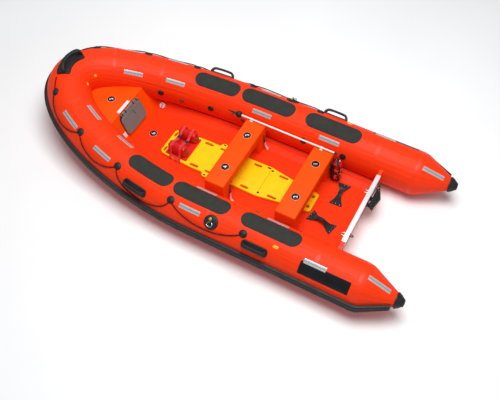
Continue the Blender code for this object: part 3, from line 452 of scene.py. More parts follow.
# Broad dull patches, as on rubber that has rubbed along a quay.
scuffs = fine_relief(0.0012, 60.0, 5.0, 0.7)
black_rubber = weathered("black_rubber", "black_rubber", (0.012, 0.012, 0.013), 0.55, shine=0.4, cloud=9.0,
                         change=0.30, grain=500.0, depth=0.0004, gloss=0.12, extra=scuffs)
for side_name, side in SIDES:
    first, second = STERN_CONE[0], STERN_CONE[1]
    end = Vector((sta(first[0]), side * TUBE_HALF_SPACING, TUBE_CENTRE_Z + first[2]))
    following = Vector((sta(second[0]), side * TUBE_HALF_SPACING, TUBE_CENTRE_Z + second[2]))
    place = Matrix.Translation(end) @ (end - following).to_track_quat("Z", "Y").to_matrix().to_4x4()
    add_piece("cone_cap_" + side_name, turned(CAP_PROFILE), black_rubber, place, crease=50.0)

# Rubbing strakes: an extruded double-D of black rubber, glued low along the outboard side of each tube from
# the cone to the stem. Fine grooves run along both ridges, and the two lengths meet end to end there.
STRAKE_DROP = -0.018
STRAKE_HALF_HEIGHT = 0.054
STRAKE_REACH = 0.036
STRAKE_VALLEY = 0.021
STRAKE_START = -0.685
# The strake is smaller at its start on the cone, and full after this length.
STRAKE_START_SIZE = 0.72
STRAKE_GROWTH = 0.25
RIDGE_GROOVES = (0.0148, 0.0270, 0.0392)
GROOVE_DEPTH = 0.0016
GROOVE_WIDTH = 0.0011
STRAKE_ROWS = 56


def strake_section():
    """Rows of distance off the skin and height about the strake's middle, round one closed outline."""
    outer = []
    for number in range(STRAKE_ROWS + 1):
        height = -STRAKE_HALF_HEIGHT + 2 * STRAKE_HALF_HEIGHT * number / STRAKE_ROWS
        inside = min(1.0, abs(abs(height) - STRAKE_HALF_HEIGHT / 2) / (STRAKE_HALF_HEIGHT / 2))
        off = STRAKE_VALLEY + (STRAKE_REACH - STRAKE_VALLEY) * math.sqrt(1 - inside ** 2.6)
        off -= sum(GROOVE_DEPTH * math.exp(-((abs(height) - groove) / GROOVE_WIDTH) ** 2)
                   for groove in RIDGE_GROOVES)
        outer.append((off, height))
    back = [(0.0010, STRAKE_HALF_HEIGHT - 0.002), (-0.0015, 0.028), (-0.0020, 0.0), (-0.0015, -0.028),
            (0.0010, -STRAKE_HALF_HEIGHT + 0.002)]
    return outer + back


for side_name, side in SIDES:
    runs = [STRAKE_START] + even_steps(-0.640, -0.43, 0.035)[:-1]
    runs += [-0.430, -0.412, -0.395, -0.372, -0.350, -0.325] + even_steps(CONE_RUNS[-1], STEM_RUN, 0.030)
    rings = []
    for run in runs:
        centre, outboard, upward, forward, radius = tube_frame(run, side)
        size = min(1.0, STRAKE_START_SIZE + (1 - STRAKE_START_SIZE) * (run - STRAKE_START) / STRAKE_GROWTH)
        middle = STRAKE_DROP * radius / TUBE_RADIUS
        ring = []
        for off, height in strake_section():
            level = middle + height * size
            reach = math.sqrt(max(radius ** 2 - level ** 2, 0.0)) + (0.003 if radius < TUBE_RADIUS else 0.0)
            ring.append(centre + outboard * (reach + off * (0.8 + 0.2 * size)) + upward * level)
        rings.append(ring)
    rings[-1] = [Vector((point.x, side * GAP / 2, point.z)) for point in rings[-1]]
    add_piece("strake_" + side_name, lofted(rings), black_rubber, crease=55.0)

# Seam tapes: bands of the tube's own fabric, glued round it over every joint of the cloth. Each stands less
# than a millimetre proud, and the edges are rolled down.
SEAM_RUNS = (-0.345, 0.105, 1.300, 2.020, 2.760, 3.330)
SEAM_HALF_WIDTH = 0.021
SEAM_RISE = 0.0009
# Offset along the tube as a part of the half width, and rise as a part of the tape's
SEAM_EDGE = ((-1.0, -1.2), (-1.0, 0.3), (-0.93, 0.85), (-0.80, 1.0), (0.0, 1.0), (0.80, 1.0), (0.93, 0.85),
             (1.0, 0.3), (1.0, -1.2))
tape_skin = weathered("seam_tape_fabric", "tube_skin", shade(TUBE_ORANGE, -0.04), 0.42, shine=0.25,
                      cloud=7.0, change=0.06, grain=800.0, depth=0.0002, gloss=0.05)
for side_name, side in SIDES:
    for number, run in enumerate(SEAM_RUNS):
        rings = [[on_tube(run + along * SEAM_HALF_WIDTH, side, 360.0 * step / TUBE_SIDES,
                          rise * SEAM_RISE)[0] for along, rise in SEAM_EDGE] for step in range(TUBE_SIDES)]
        add_piece(f"seam_tape_{side_name}_{number}", hoop(rings), tape_skin, crease=30.0)


def soft_plate(half_u, half_v, corner, thickness, edge, sink=0.0006, spacing=0.02, relief=None):
    """A flat plate with rounded corners and rolled edges, in its own flat measures: along, across, up."""
    def inward(half, gap):
        inner = [half - edge * part for part in (0.0, 0.12, 0.4, 1.0)]
        count = max(2, math.ceil(2 * inner[-1] / gap))
        flat = [-inner[-1] + 2 * inner[-1] * n / count for n in range(count + 1)]
        return [-value for value in inner[:-1]] + flat + inner[-2::-1]

    rows = inward(half_u, spacing)
    if corner > edge * 1.5:
        bends = [half_u - corner * (1 - math.cos(math.pi / 2 * step / 10)) for step in range(11)]
        rows = sorted(set([round(row, 6) for row in rows]
                          + [round(s * b, 6) for b in bends for s in (-1, 1)]))
        rows = [row for place, row in enumerate(rows) if place == 0 or row - rows[place - 1] > 0.0006]
    shares = [value / half_v for value in inward(half_v, spacing)]

    def width(along):
        over = max(0.0, abs(along) - (half_u - corner))
        return max(half_v - corner + math.sqrt(max(corner ** 2 - over ** 2, 0.0)), half_v * 0.02)

    bm = bmesh.new()
    top, bottom = [], []
    for along in rows:
        upper, lower = [], []
        for share in shares:
            across = share * width(along)
            away = half_v * (1 - abs(share)) * min(1.0, width(along) / half_v * 1.5)
            away = min(away, half_u - abs(along))
            over = max(0.0, abs(along) - (half_u - corner))
            side_in = max(0.0, abs(across) - (half_v - corner))
            if over > 0 and side_in > 0:
                away = corner - math.hypot(over, side_in)
            part = min(1.0, max(0.0, away) / edge)
            height = thickness * math.sqrt(1 - (1 - part) ** 2)
            if relief:
                height += relief(along, across) * part
            upper.append(bm.verts.new((along, across, height)))
            lower.append(bm.verts.new((along, across, -sink)))
        top.append(upper)
        bottom.append(lower)
    count = len(shares) - 1
    for row in range(len(rows) - 1):
        for column in range(count):
            for grid in (top, bottom):
                bm.faces.new((grid[row][column], grid[row + 1][column], grid[row + 1][column + 1],
                              grid[row][column + 1]))
        for column in (0, count):
            bm.faces.new((top[row][column], top[row + 1][column], bottom[row + 1][column],
                          bottom[row][column]))
    for row in (0, len(rows) - 1):
        for column in range(count):
            bm.faces.new((top[row][column], top[row][column + 1], bottom[row][column + 1],
                          bottom[row][column]))
    return bm


def wrapped(bm, side, run, around, turn=0.0, lift=0.0):
    """Bends a flat shape to the tube: along the run, across to outboard, up off the skin."""
    spin = math.radians(turn)
    for vert in bm.verts:
        along, across, up = vert.co
        u = along * math.cos(spin) - across * math.sin(spin)
        v = along * math.sin(spin) + across * math.cos(spin)
        radius = tube_frame(run + u, side)[4]
        vert.co = on_tube(run + u, side, around + math.degrees(v / radius), up + lift)[0]
    return bm


# Anti-slip pads: three long rounded sheets of dark grey rubber on the crown of each tube, to sit on and
# step over. They are glued down, and their face carries small raised diamonds.
# Name, run of the aft end and of the forward end
PADS = (("aft", 0.320, 0.970), ("middle", 1.110, 1.760), ("forward", 1.800, 2.360))
PAD_AROUND = -8.0
PAD_HALF_ANGLE = 23.0
PAD_THICKNESS = 0.0056
PAD_CORNER = 0.092
STUD_PITCH = 0.0105
STUD_HALF = 0.0030
STUD_RISE = 0.0009
TREAD_MARGIN = 0.009


def open_tree(name, **sockets):
    """A Geometry Nodes tree that takes geometry and named kinds of value, and its input node's outputs."""
    tree = bpy.data.node_groups.new(name, "GeometryNodeTree")
    ways = tree.interface
    ways.new_socket("Geometry", in_out="INPUT", socket_type="NodeSocketGeometry")
    for label, kind in (*sockets.items(), ("Material", "Material")):
        ways.new_socket(label, in_out="INPUT", socket_type="NodeSocket" + kind)
    ways.new_socket("Geometry", in_out="OUTPUT", socket_type="NodeSocketGeometry")
    return tree, add_node(tree, "NodeGroupInput").outputs


def close_tree(tree, given, geometry):
    """Makes the geometry real, in the given material, and hands it out."""
    real = add_node(tree, "GeometryNodeRealizeInstances", {"Geometry": geometry})
    dressed = add_node(tree, "GeometryNodeSetMaterial", {"Geometry": real.outputs["Geometry"],
                                                         "Material": given["Material"]})
    add_node(tree, "NodeGroupOutput", {"Geometry": dressed.outputs["Geometry"]})


def scatter(tree, given, shape, rise, turn):
    """Sets a shape of unit size on each point, at the given width, rise and turn."""
    size = add_node(tree, "ShaderNodeCombineXYZ", {"X": given["Width"], "Y": given["Width"], "Z": rise})
    sized = add_node(tree, "GeometryNodeTransform",
                     {"Geometry": shape.outputs["Mesh"], "Scale": size.outputs["Vector"]})
    standing = add_node(tree, "GeometryNodeInstanceOnPoints",
                        {"Points": given["Geometry"], "Rotation": turn,
                         "Instance": sized.outputs["Geometry"]})
    close_tree(tree, given, standing.outputs["Instances"])


def diamond_tread(name):
    """Geometry Nodes tree that sets a raised diamond on each point, turned to the direction stored as out."""
    tree, given = open_tree(name, Width="Float", Rise="Float")
    stud = add_node(tree, "GeometryNodeMeshCone",
                    {"Vertices": 4, "Radius Top": 0.45, "Radius Bottom": 1.0, "Depth": 2.0},
                    fill_type="TRIANGLE_FAN")
    way_out = add_node(tree, "GeometryNodeInputNamedAttribute", {"Name": "out"}, data_type="FLOAT_VECTOR")
    upright = add_node(tree, "FunctionNodeAlignEulerToVector", {"Vector": way_out.outputs["Attribute"]},
                       axis="Z")
    scatter(tree, given, stud, given["Rise"], upright.outputs["Rotation"])
    return tree


def plain_mesh(holder):
    """An object's mesh with its modifiers applied."""
    bpy.context.view_layer.update()
    return bpy.data.meshes.new_from_object(holder.evaluated_get(bpy.context.evaluated_depsgraph_get()))


def shown(name, data):
    """A new object in the scene."""
    holder = bpy.data.objects.new(name, data)
    bpy.context.scene.collection.objects.link(holder)
    return holder


def grown(name, data, tree, values, finish, crease=40.0):
    """Runs a Geometry Nodes tree on mesh or curve data and keeps the result as a plain mesh piece."""
    holder = shown(name + "_base", data)
    step = holder.modifiers.new("grow", "NODES")
    step.node_group = tree
    values = {**values, "Material": finish[0]}
    for item in tree.interface.items_tree:
        if item.in_out == "INPUT" and item.name in values:
            step[item.identifier] = values[item.name]
    mesh = plain_mesh(holder)
    mesh.name = name
    bpy.data.objects.remove(holder, do_unlink=True)
    return add_piece(name, mesh, finish, crease=crease)


pad_rubber = weathered("pad_rubber", "anti_slip_pad", (0.034, 0.034, 0.030), 0.80, shine=0.25, cloud=14.0,
                       change=0.22, grain=900.0, depth=0.0005, gloss=0.08, extra=cell_relief(0.0006, 420.0))
tread_tree = diamond_tread("pad_tread")
for side_name, side in SIDES:
    for place_name, aft, forward_end in PADS:
        name = f"pad_{side_name}_{place_name}"
        middle, half_run = (aft + forward_end) / 2, (forward_end - aft) / 2
        half_girth = math.radians(PAD_HALF_ANGLE) * TUBE_RADIUS
        plate = soft_plate(half_run, half_girth, PAD_CORNER, PAD_THICKNESS, 0.004)
        add_piece(name, wrapped(plate, side, middle, PAD_AROUND), pad_rubber)
        bm = bmesh.new()
        outward = bm.verts.layers.float_vector.new("out")
        rows, columns = int(half_run / STUD_PITCH), int(half_girth / STUD_PITCH)
        for row in range(-rows, rows + 1):
            for column in range(-columns, columns + 1):
                along = (row + 0.5 * (column % 2)) * STUD_PITCH
                across = column * STUD_PITCH
                over = max(0.0, abs(along) - (half_run - PAD_CORNER))
                beside = max(0.0, abs(across) - (half_girth - PAD_CORNER))
                if math.hypot(over, beside) < PAD_CORNER - TREAD_MARGIN:
                    point, out = on_tube(middle + along, side,
                                         PAD_AROUND + math.degrees(across / TUBE_RADIUS), PAD_THICKNESS)
                    bm.verts.new(point)[outward] = out
        tread = bpy.data.meshes.new(name + "_tread")
        bm.to_mesh(tread)
        bm.free()
        grown(name + "_tread", tread, tread_tree, {"Width": STUD_HALF, "Rise": STUD_RISE}, pad_rubber)

# Hull: a deep V moulding in orange gelcoat, which the waterline hides from above. Two spray rails a side
# run along its bottom to the bow, moulded in one with the skin.
# Sections: station, keel height, chine half-width and height, sole half-width and height, liner edge
# half-width and height
HULL_SECTIONS = (
    (0.000, -0.235, 0.660, 0.000, 0.440, 0.052, 0.600, 0.130),
    (1.600, -0.235, 0.660, 0.010, 0.440, 0.052, 0.600, 0.130),
    (2.300, -0.190, 0.600, 0.040, 0.400, 0.052, 0.560, 0.150),
    (2.800, -0.095, 0.500, 0.095, 0.330, 0.052, 0.460, 0.190),
    (3.150, 0.030, 0.370, 0.165, 0.230, 0.140, 0.330, 0.240),
    (3.380, 0.140, 0.210, 0.232, 0.100, 0.240, 0.160, 0.290),
    (3.520, 0.232, 0.070, 0.262, 0.025, 0.290, 0.040, 0.310),
)
# Place across the bottom from keel to chine, first and last station
SPRAY_RAILS = ((0.38, 0.06, 3.05), (0.72, 0.06, 2.85))
RAIL_WIDTH = 0.030
RAIL_DEPTH = 0.012


def hull_row(station):
    """The hull's measures at a station, drawn fairly through the table without overshoot."""
    rows = HULL_SECTIONS
    index = max(number for number in range(len(rows) - 1) if rows[number][0] <= station)
    low, high = rows[index], rows[index + 1]
    length = high[0] - low[0]
    part = (station - low[0]) / length
    values = [station]
    for column in range(1, len(low)):
        slopes = [(b[column] - a[column]) / (b[0] - a[0]) for a, b in zip(rows, rows[1:])]
        ends = []
        for corner in (index, index + 1):
            before = slopes[max(corner - 1, 0)]
            after = slopes[min(corner, len(slopes) - 1)]
            ends.append(2 * before * after / (before + after) if before * after > 0 else 0.0)
        rise = high[column] - low[column]
        start, end = ends[0] * length, ends[1] * length
        values.append(low[column] + part * start + part ** 2 * (3 * rise - 2 * start - end)
                      + part ** 3 * (start + end - 2 * rise))
    return values


orange_peel = fine_relief(0.0005, 130.0, 1.0)
gelcoat = weathered("moulded_gelcoat", "gelcoat", (0.90, 0.050, 0.002), 0.30, coat=0.25, cloud=3.0,
                    change=0.06, grain=500.0, depth=0.00015, gloss=0.08, extra=orange_peel)


def wear_node_piece(node, finish):
    """A solid of the frame keeps its shape and takes its finish."""
    slots = NODES[node].data.materials
    slots.clear()
    slots.append(finish[0])


wear_node_piece("hull", gelcoat)
for side_name, side in SIDES:
    for number, (part, first, last) in enumerate(SPRAY_RAILS):
        rings = []
        stations = even_steps(first, last, 0.06)
        for place, station in enumerate(stations):
            keel, chine_half, chine_z = hull_row(station)[1:4]
            inner_half, inner_z = min(0.06, chine_half / 3), keel + 0.012
            half = inner_half + (chine_half - inner_half) * part
            height = inner_z + (chine_z - inner_z) * part
            fall = (chine_z - inner_z) / (chine_half - inner_half)
            fade = min(1.0, place / 2 + 0.15, (len(stations) - 1 - place) / 5 + 0.10)
            wide, deep = RAIL_WIDTH * fade, RAIL_DEPTH * fade
            rings.append([Vector((sta(station), side * (half + y), height + z))
                          for y, z in ((-wide, -fall * wide + 0.004), (-wide, -fall * wide - 0.0005),
                                       (-wide * 0.2, -deep * 0.6), (0.0, -deep), (0.002, -deep * 0.4),
                                       (0.002, 0.004))])
        add_piece(f"spray_rail_{side_name}_{number}", lofted(rings), gelcoat)

# Sole: the orange inner moulding, a flat floor whose sides round up to the tubes with a narrow ledge along
# them. Its floor has a moulded pebble grain against slipping, and a black rubber bead covers the joint with
# the tubes. The bead is partly painted shadow: its black and its width also stand for the shade in the gap
# there.
SOLE_Z = 0.052
SOLE_THICKNESS = 0.012
TRANSOM_THICKNESS = 0.036
# How far the transom leans aft, per metre of height above its foot
TRANSOM_RAKE = 0.10
LINER_TUCK = 0.006
LINER_FILLET = 0.030
LEDGE_PART = 0.45
LEDGE_WIDTH = 0.012
BEAD_AND_GAP_SHADOW_RADIUS = 0.0055
TUBE_POINTS = [tube_frame(STEM_RUN * number / 600, 1)[0] for number in range(601)]


def outside_tube(point):
    """How far a point on the port side, or mirrored to it, is outside the tube's skin."""
    mirrored = Vector((point.x, abs(point.y), point.z))
    return min((mirrored - centre).length for centre in TUBE_POINTS) - TUBE_RADIUS


def liner_side(station):
    """Rows of half-width and height up the liner's side at a station, from the floor into the tube."""
    sole_half, sole_z, edge_half, edge_z = hull_row(station)[4:]
    slope = (edge_z - sole_z) / (edge_half - sole_half)
    fillet = min(LINER_FILLET, sole_half * 0.4)
    rows = []
    for step in range(7):
        part = step / 6
        y = sole_half - fillet + 2 * fillet * part
        rows.append((y, sole_z + slope * fillet * part ** 2))
    ledge = sole_half + (edge_half - sole_half) * LEDGE_PART
    reach = edge_half + 0.08
    steps = even_steps(sole_half + fillet, reach, 0.004)
    for y in steps[1:]:
        step_up = 0.0 if y < ledge else min(1.0, (y - ledge) / 0.004) * 0.006
        level = sole_z + slope * (y - sole_half)
        if ledge + 0.004 < y < ledge + 0.004 + LEDGE_WIDTH:
            level -= slope * (y - ledge - 0.004)
        elif y >= ledge + 0.004 + LEDGE_WIDTH:
            level -= slope * LEDGE_WIDTH
        rows.append((y, level + step_up))
        if outside_tube(Vector((sta(station), y, level + step_up))) < -LINER_TUCK:
            break
    return rows


def floor_pebble(tree, place):
    """Raised pebbles on the flat floor, which fade out where the sides round up."""
    where = add_node(tree, "ShaderNodeSeparateXYZ", {"Vector": place})
    flat = add_node(tree, "ShaderNodeMapRange", {"Value": where.outputs["Z"], "From Min": SOLE_Z + 0.0005,
                                                 "From Max": SOLE_Z + 0.003, "To Min": 1.0, "To Max": 0.0})
    cells = add_node(tree, "ShaderNodeTexVoronoi", {"Vector": place, "Scale": 165.0})
    domes = add_node(tree, "ShaderNodeMapRange",
                     {"Value": cells.outputs["Distance"], "From Min": 0.15, "From Max": 0.55, "To Min": 1.0,
                      "To Max": 0.0})
    height = add_node(tree, "ShaderNodeMath", {0: domes.outputs["Result"], 1: flat.outputs["Result"]},
                      operation="MULTIPLY")
    return height.outputs["Value"], 0.0011


liner_gelcoat = weathered("liner_gelcoat", "gelcoat", (0.90, 0.036, 0.001), 0.50, shine=0.12, coat=0.0,
                          cloud=2.4, change=0.09, grain=500.0, depth=0.00015, gloss=0.08,
                          extra=floor_pebble)
stations = even_steps(TRANSOM_THICKNESS + GAP, 1.60, 0.10)[:-1] + even_steps(1.60, 3.50, 0.05)
sides = [liner_side(station) for station in stations]
count = max(len(rows) for rows in sides)
leaning = Matrix.Identity(4)
leaning[0][2], leaning[0][3] = -TRANSOM_RAKE, TRANSOM_RAKE * (SOLE_Z - SOLE_THICKNESS)
rings = []
for station, rows in zip(stations, sides):
    rows = rows + [rows[-1]] * (count - len(rows))
    port = [Vector((sta(station), y, z)) for y, z in reversed(rows)]
    starboard = [Vector((point.x, -point.y, point.z)) for point in reversed(port)]
    under = [point - Vector((0, 0, SOLE_THICKNESS)) for point in reversed(port + starboard)]
    rings.append(port + starboard + under)
rings[0] = [leaning @ point for point in rings[0]]
bm = lofted(rings)
bmesh.ops.dissolve_degenerate(bm, dist=WELD, edges=bm.edges)
add_piece("sole", bm, liner_gelcoat, crease=28.0)


def swept(points, section, outs, closed=False):
    """A body along points, its section of (across, out) rows set on each point's way out, or on one way."""
    if isinstance(outs, Vector):
        outs = [outs] * len(points)
    rings = []
    for number, (point, out) in enumerate(zip(points, outs)):
        before, after = points[max(number - 1, 0)], points[min(number + 1, len(points) - 1)]
        if closed:
            before, after = points[number - 1], points[(number + 1) % len(points)]
        along = (after - before).normalized()
        out = (out - along * out.dot(along)).normalized()
        across = along.cross(out)
        rows = section(number / (len(points) - 1)) if callable(section) else section
        rings.append([point + across * x + out * y for x, y in rows])
    return hoop(rings) if closed else lofted(rings)


def round_section(radius, sides=12, flat=1.0):
    return [(radius * math.cos(turn), flat * radius * math.sin(turn)) for turn in turns(sides)]


# The black bead along the tube joint is partly a real rubber strip and partly painted shadow of the gap
# between tube and liner.
for side_name, side in SIDES:
    line, outs = [], []
    for station, rows in zip(stations, sides):
        if station > 2.78:
            break
        for (y, z), (wider, higher) in zip(rows, rows[1:]):
            point = Vector((sta(station), side * y, z))
            following = Vector((sta(station), side * wider, higher))
            if outside_tube(following) < 0.0:
                line.append(point.lerp(following, 0.5))
                outs.append(Vector((0.0, -side * 0.7, 0.7)))
                break
    add_piece("liner_bead_" + side_name, swept(line, round_section(BEAD_AND_GAP_SHADOW_RADIUS), outs), black_rubber)

# Transom: a thick moulded board between the tubes. A folded sheet of white-painted alloy caps its top edge
# and comes down over its aft face, screwed on along the lower edge.
TRANSOM_TOP = 0.352
CAP_HALF_WIDTH = 0.462
CAP_TOP = 0.366
CAP_SHEET = 0.006
CAP_FLANGE = 0.150
SCREW_PITCH = 0.077
SCREW_RADIUS = 0.0050
CAP_SCREWS = 12
# Height of a screw's head as a part of its radius
HEAD_DOME = 0.45


white_alloy = weathered("white_painted_alloy", "alloy_cap", (0.80, 0.81, 0.82), 0.36, metallic=0.25,
                        coat=0.2, cloud=8.0, change=0.05, grain=600.0, depth=0.0001, gloss=0.08,
                        extra=fine_relief(0.00025, 1.0, stretch=(900.0, 12.0, 900.0)))
stainless = weathered("polished_stainless", "stainless", (0.60, 0.61, 0.62), 0.24, metallic=1.0, cloud=30.0,
                      change=0.08, grain=900.0, depth=0.0001, gloss=0.08)
wear_node_piece("transom", gelcoat)


def extruded(profile, low, high, edge, axis="y"):
    """A profile of (x, z) rows, or (y, z) rows along x, drawn out between two places, its edges rounded."""
    bm = bmesh.new()
    near, far = [[bm.verts.new((a, place, b) if axis == "y" else (place, a, b)) for a, b in profile]
                 for place in (low, high)]
    bm.faces.new(near)
    bm.faces.new(list(reversed(far)))
    for number in range(len(near)):
        after = (number + 1) % len(near)
        bm.faces.new((near[number], far[number], far[after], near[after]))
    bmesh.ops.recalc_face_normals(bm, faces=bm.faces)
    if edge:
        bmesh.ops.bevel(bm, geom=bm.edges[:], offset=edge, segments=3, affect="EDGES", profile=0.5,
                        clamp_overlap=True)
    return bm


back, front = sta(-GAP - CAP_SHEET), sta(TRANSOM_THICKNESS + GAP + 0.004)
cap_profile = [(back, CAP_TOP - CAP_FLANGE), (back, CAP_TOP), (front, CAP_TOP), (front, CAP_TOP - 0.040),
               (front - 0.004, CAP_TOP - 0.040), (front - 0.004, TRANSOM_TOP + GAP),
               (sta(-GAP), TRANSOM_TOP + GAP), (sta(-GAP), CAP_TOP - CAP_FLANGE)]
add_piece("transom_cap", extruded(cap_profile, -CAP_HALF_WIDTH, CAP_HALF_WIDTH, 0.0017), white_alloy,
          leaning, crease=35.0)


def screw_rows(name):
    """Geometry Nodes tree that sets a domed screw head on each point of a mesh, turned to a given side."""
    tree, given = open_tree(name, Width="Float", Turn="Vector")
    head = add_node(tree, "GeometryNodeMeshUVSphere", {"Segments": 12, "Rings": 8, "Radius": 1.0})
    height = add_node(tree, "ShaderNodeMath", {0: given["Width"], 1: HEAD_DOME}, operation="MULTIPLY")
    scatter(tree, given, head, height.outputs["Value"], given["Turn"])
    return tree


screw_tree = screw_rows("screw_rows")


def screws(name, points, turn, radius):
    data = bpy.data.meshes.new(name)
    data.from_pydata([tuple(point) for point in points], [], [])
    grown(name, data, screw_tree, {"Width": radius, "Turn": turn}, stainless)


heads = [leaning @ Vector((back - 0.0002, (number - (CAP_SCREWS - 1) / 2) * SCREW_PITCH,
                           CAP_TOP - CAP_FLANGE + 0.018)) for number in range(CAP_SCREWS)]
screws("cap_screws", heads, (0.0, math.pi / 2, 0.0), SCREW_RADIUS)

# Thwarts: two moulded cross benches in orange gelcoat, each a box beam on two pedestals with well rounded
# edges. A moulding seam runs fore and aft over the middle, and the feet are bonded down to the liner.
# Name, station of the aft edge
THWARTS = (("thwart_aft", 0.508), ("thwart_forward", 1.329))
THWART_LENGTH = 0.232
THWART_TOP = 0.412
THWART_HALF_WIDTH = 0.484
THWART_BEAM_DEPTH = 0.115
THWART_ARCH_HALF_WIDTH = 0.330
THWART_EDGE = 0.016
THWART_SEAM = 0.0016
bench_gelcoat = weathered("bench_gelcoat", "bench_gelcoat", (0.92, 0.076, 0.001), 0.50, shine=0.12,
                          coat=0.0, cloud=3.5, change=0.07, grain=600.0, depth=0.0002, gloss=0.08,
                          extra=orange_peel)
sole_half, sole_z, edge_half, edge_z = HULL_SECTIONS[0][4:]
foot_rise = (edge_z - sole_z) / (edge_half - sole_half)
outer_foot = sole_z + foot_rise * (THWART_HALF_WIDTH - sole_half)
for name, aft in THWARTS:
    forward_end = aft + THWART_LENGTH
    arch_top = THWART_TOP - THWART_BEAM_DEPTH
    half = [(THWART_HALF_WIDTH, THWART_TOP), (THWART_HALF_WIDTH, outer_foot - 0.002),
            (sole_half, SOLE_Z - 0.002), (THWART_ARCH_HALF_WIDTH, SOLE_Z - 0.002),
            (THWART_ARCH_HALF_WIDTH, arch_top)]
    portal = half + [(-y, z) for y, z in reversed(half)]
    bm = extruded(portal, sta(aft), sta(forward_end), 0.0, axis="x")
    chosen = [e for e in bm.edges if all(v.co.z > 0.2 for v in e.verts) or
              (abs(e.verts[0].co.z - e.verts[1].co.z) > 0.05)]
    bmesh.ops.bevel(bm, geom=chosen, offset=THWART_EDGE, segments=5, affect="EDGES", profile=0.5,
                    clamp_overlap=True)
    bmesh.ops.triangulate(bm, faces=[face for face in bm.faces if len(face.verts) > 4])
    add_piece(name, bm, bench_gelcoat, crease=32.0)
    seam = [Vector((sta(aft) - 0.0002, 0.0, arch_top + 0.02)),
            Vector((sta(aft) - 0.0002, 0.0, THWART_TOP - 0.016)),
            Vector((sta(aft) + 0.005, 0.0, THWART_TOP - 0.0045)),
            Vector((sta(aft) + 0.016, 0.0, THWART_TOP))]
    seam += [Vector((sta(station), 0.0, THWART_TOP))
             for station in even_steps(aft + 0.03, forward_end - 0.016, 0.03)]
    add_piece(name + "_seam", swept(seam, round_section(THWART_SEAM, 8, 0.6), Vector((-0.4, 0.0, 1.0))),
              bench_gelcoat)

# Bow locker: a moulded front with a rounded nosing and a flat foredeck behind it, hollow inside. Its sides
# are the tubes, which it is bonded to, and a hatch opening is cut through the front.
LOCKER_FACE = 2.720
LOCKER_LEAN = 0.125
LOCKER_TOP = 0.400
LOCKER_WALL = 0.020
LOCKER_NOSING = 0.016
LOCKER_HALF_WIDTH = 0.60
HATCH_WIDTH = 0.37
HATCH_HEIGHT = 0.262
HATCH_CORNER = 0.055
HATCH_MIDDLE_Z = 0.250
HATCH_RIM = 0.022
HATCH_RIM_THICKNESS = 0.008


def locker_face(z):
    """Station of the locker's aft face at a height: it leans forward as it rises."""
    return LOCKER_FACE + LOCKER_LEAN * (z - SOLE_Z) / (LOCKER_TOP - SOLE_Z)


def face_matrix(z):
    """Placement on the locker's aft face: local x to starboard, y up the face, z out of it, aft."""
    lean = math.atan2(LOCKER_LEAN, LOCKER_TOP - SOLE_Z)
    up = Vector((math.sin(lean), 0.0, math.cos(lean)))
    out = Vector((-math.cos(lean), 0.0, math.sin(lean)))
    return moved(sta(locker_face(z)), 0.0, z) @ axes(up.cross(out), up, out)


def rounded_rectangle(half_x, half_y, radius):
    points = []
    for corner, (sx, sy) in enumerate(((1, 1), (-1, 1), (-1, -1), (1, -1))):
        for step in range(11):
            angle = math.radians(90 * corner + 9 * step)
            points.append((sx * (half_x - radius) + radius * math.cos(angle),
                           sy * (half_y - radius) + radius * math.sin(angle)))
    return points


def prism(outline, low, high):
    """A straight-sided body over a flat outline of (x, y) rows, between two heights."""
    return lofted([[Vector((x, y, z)) for x, y in outline] for z in (low, high)])


def carve(piece, shape):
    """Cuts another shape out of a piece, and keeps the plain result."""
    mesh = bpy.data.meshes.new("cutter")
    bmesh.ops.recalc_face_normals(shape, faces=shape.faces)
    shape.to_mesh(mesh)
    shape.free()
    tool = shown("cutter", mesh)
    step = piece.modifiers.new("cut", "BOOLEAN")
    step.operation, step.solver, step.object = "DIFFERENCE", "EXACT", tool
    result = plain_mesh(piece)
    piece.modifiers.remove(step)
    piece.data = result
    bpy.data.objects.remove(tool, do_unlink=True)


foot = SOLE_Z - 0.004
bottom, top = locker_face(foot), locker_face(LOCKER_TOP)
nosing = [(top + LOCKER_NOSING * (1 - math.sin(turn)), LOCKER_TOP - LOCKER_NOSING * (1 - math.cos(turn)))
          for turn in (math.pi / 2 * step / 6 for step in range(6, -1, -1))]
tip = BOW_STATION - 0.02
profile = [(bottom, foot)] + nosing + [(tip, LOCKER_TOP), (tip, LOCKER_TOP - LOCKER_WALL),
                                       (top + LOCKER_WALL, LOCKER_TOP - LOCKER_WALL),
                                       (bottom + LOCKER_WALL, foot)]
bm = extruded([(sta(station), z) for station, z in profile], -LOCKER_HALF_WIDTH, LOCKER_HALF_WIDTH, 0.0)
locker = add_piece("bow_locker", bm, bench_gelcoat, crease=30.0)
carve(locker, lofted([tube_ring(run, 1, 64, LINER_TUCK)
                      for run in even_steps(2.2, 2 * STEM_RUN - 2.2, 0.06)]))
under_rows = []
for station in even_steps(2.45, 3.50, 0.05):
    sole_half, sole_z, edge_half, edge_z = hull_row(station)[4:]
    half = [(sole_half, sole_z - 0.004), (edge_half, edge_z - 0.004), (0.8, edge_z - 0.004), (0.8, -0.4)]
    under_rows.append([Vector((sta(station), y, z))
                       for y, z in half + [(-y, z) for y, z in reversed(half)]])
carve(locker, lofted(under_rows))
opening = prism(rounded_rectangle(HATCH_WIDTH / 2 - HATCH_RIM, HATCH_HEIGHT / 2 - HATCH_RIM,
                                  HATCH_CORNER - HATCH_RIM / 2), -0.06, 0.06)
opening.transform(face_matrix(HATCH_MIDDLE_Z))
carve(locker, opening)
bm = bmesh.new()
bm.from_mesh(locker.data)
loose, groups = set(bm.verts), []
while loose:
    group, edge = set(), [loose.pop()]
    while edge:
        vert = edge.pop()
        group.add(vert)
        for line in vert.link_edges:
            other = line.other_vert(vert)
            if other in loose:
                loose.discard(other)
                edge.append(other)
    groups.append(group)
keep = max(groups, key=len)
bmesh.ops.delete(bm, geom=[vert for group in groups if group is not keep for vert in group],
                 context="VERTS")
bm.to_mesh(locker.data)
bm.free()
locker.data.shade_smooth()
locker.data.set_sharp_from_angle(angle=math.radians(30.0))

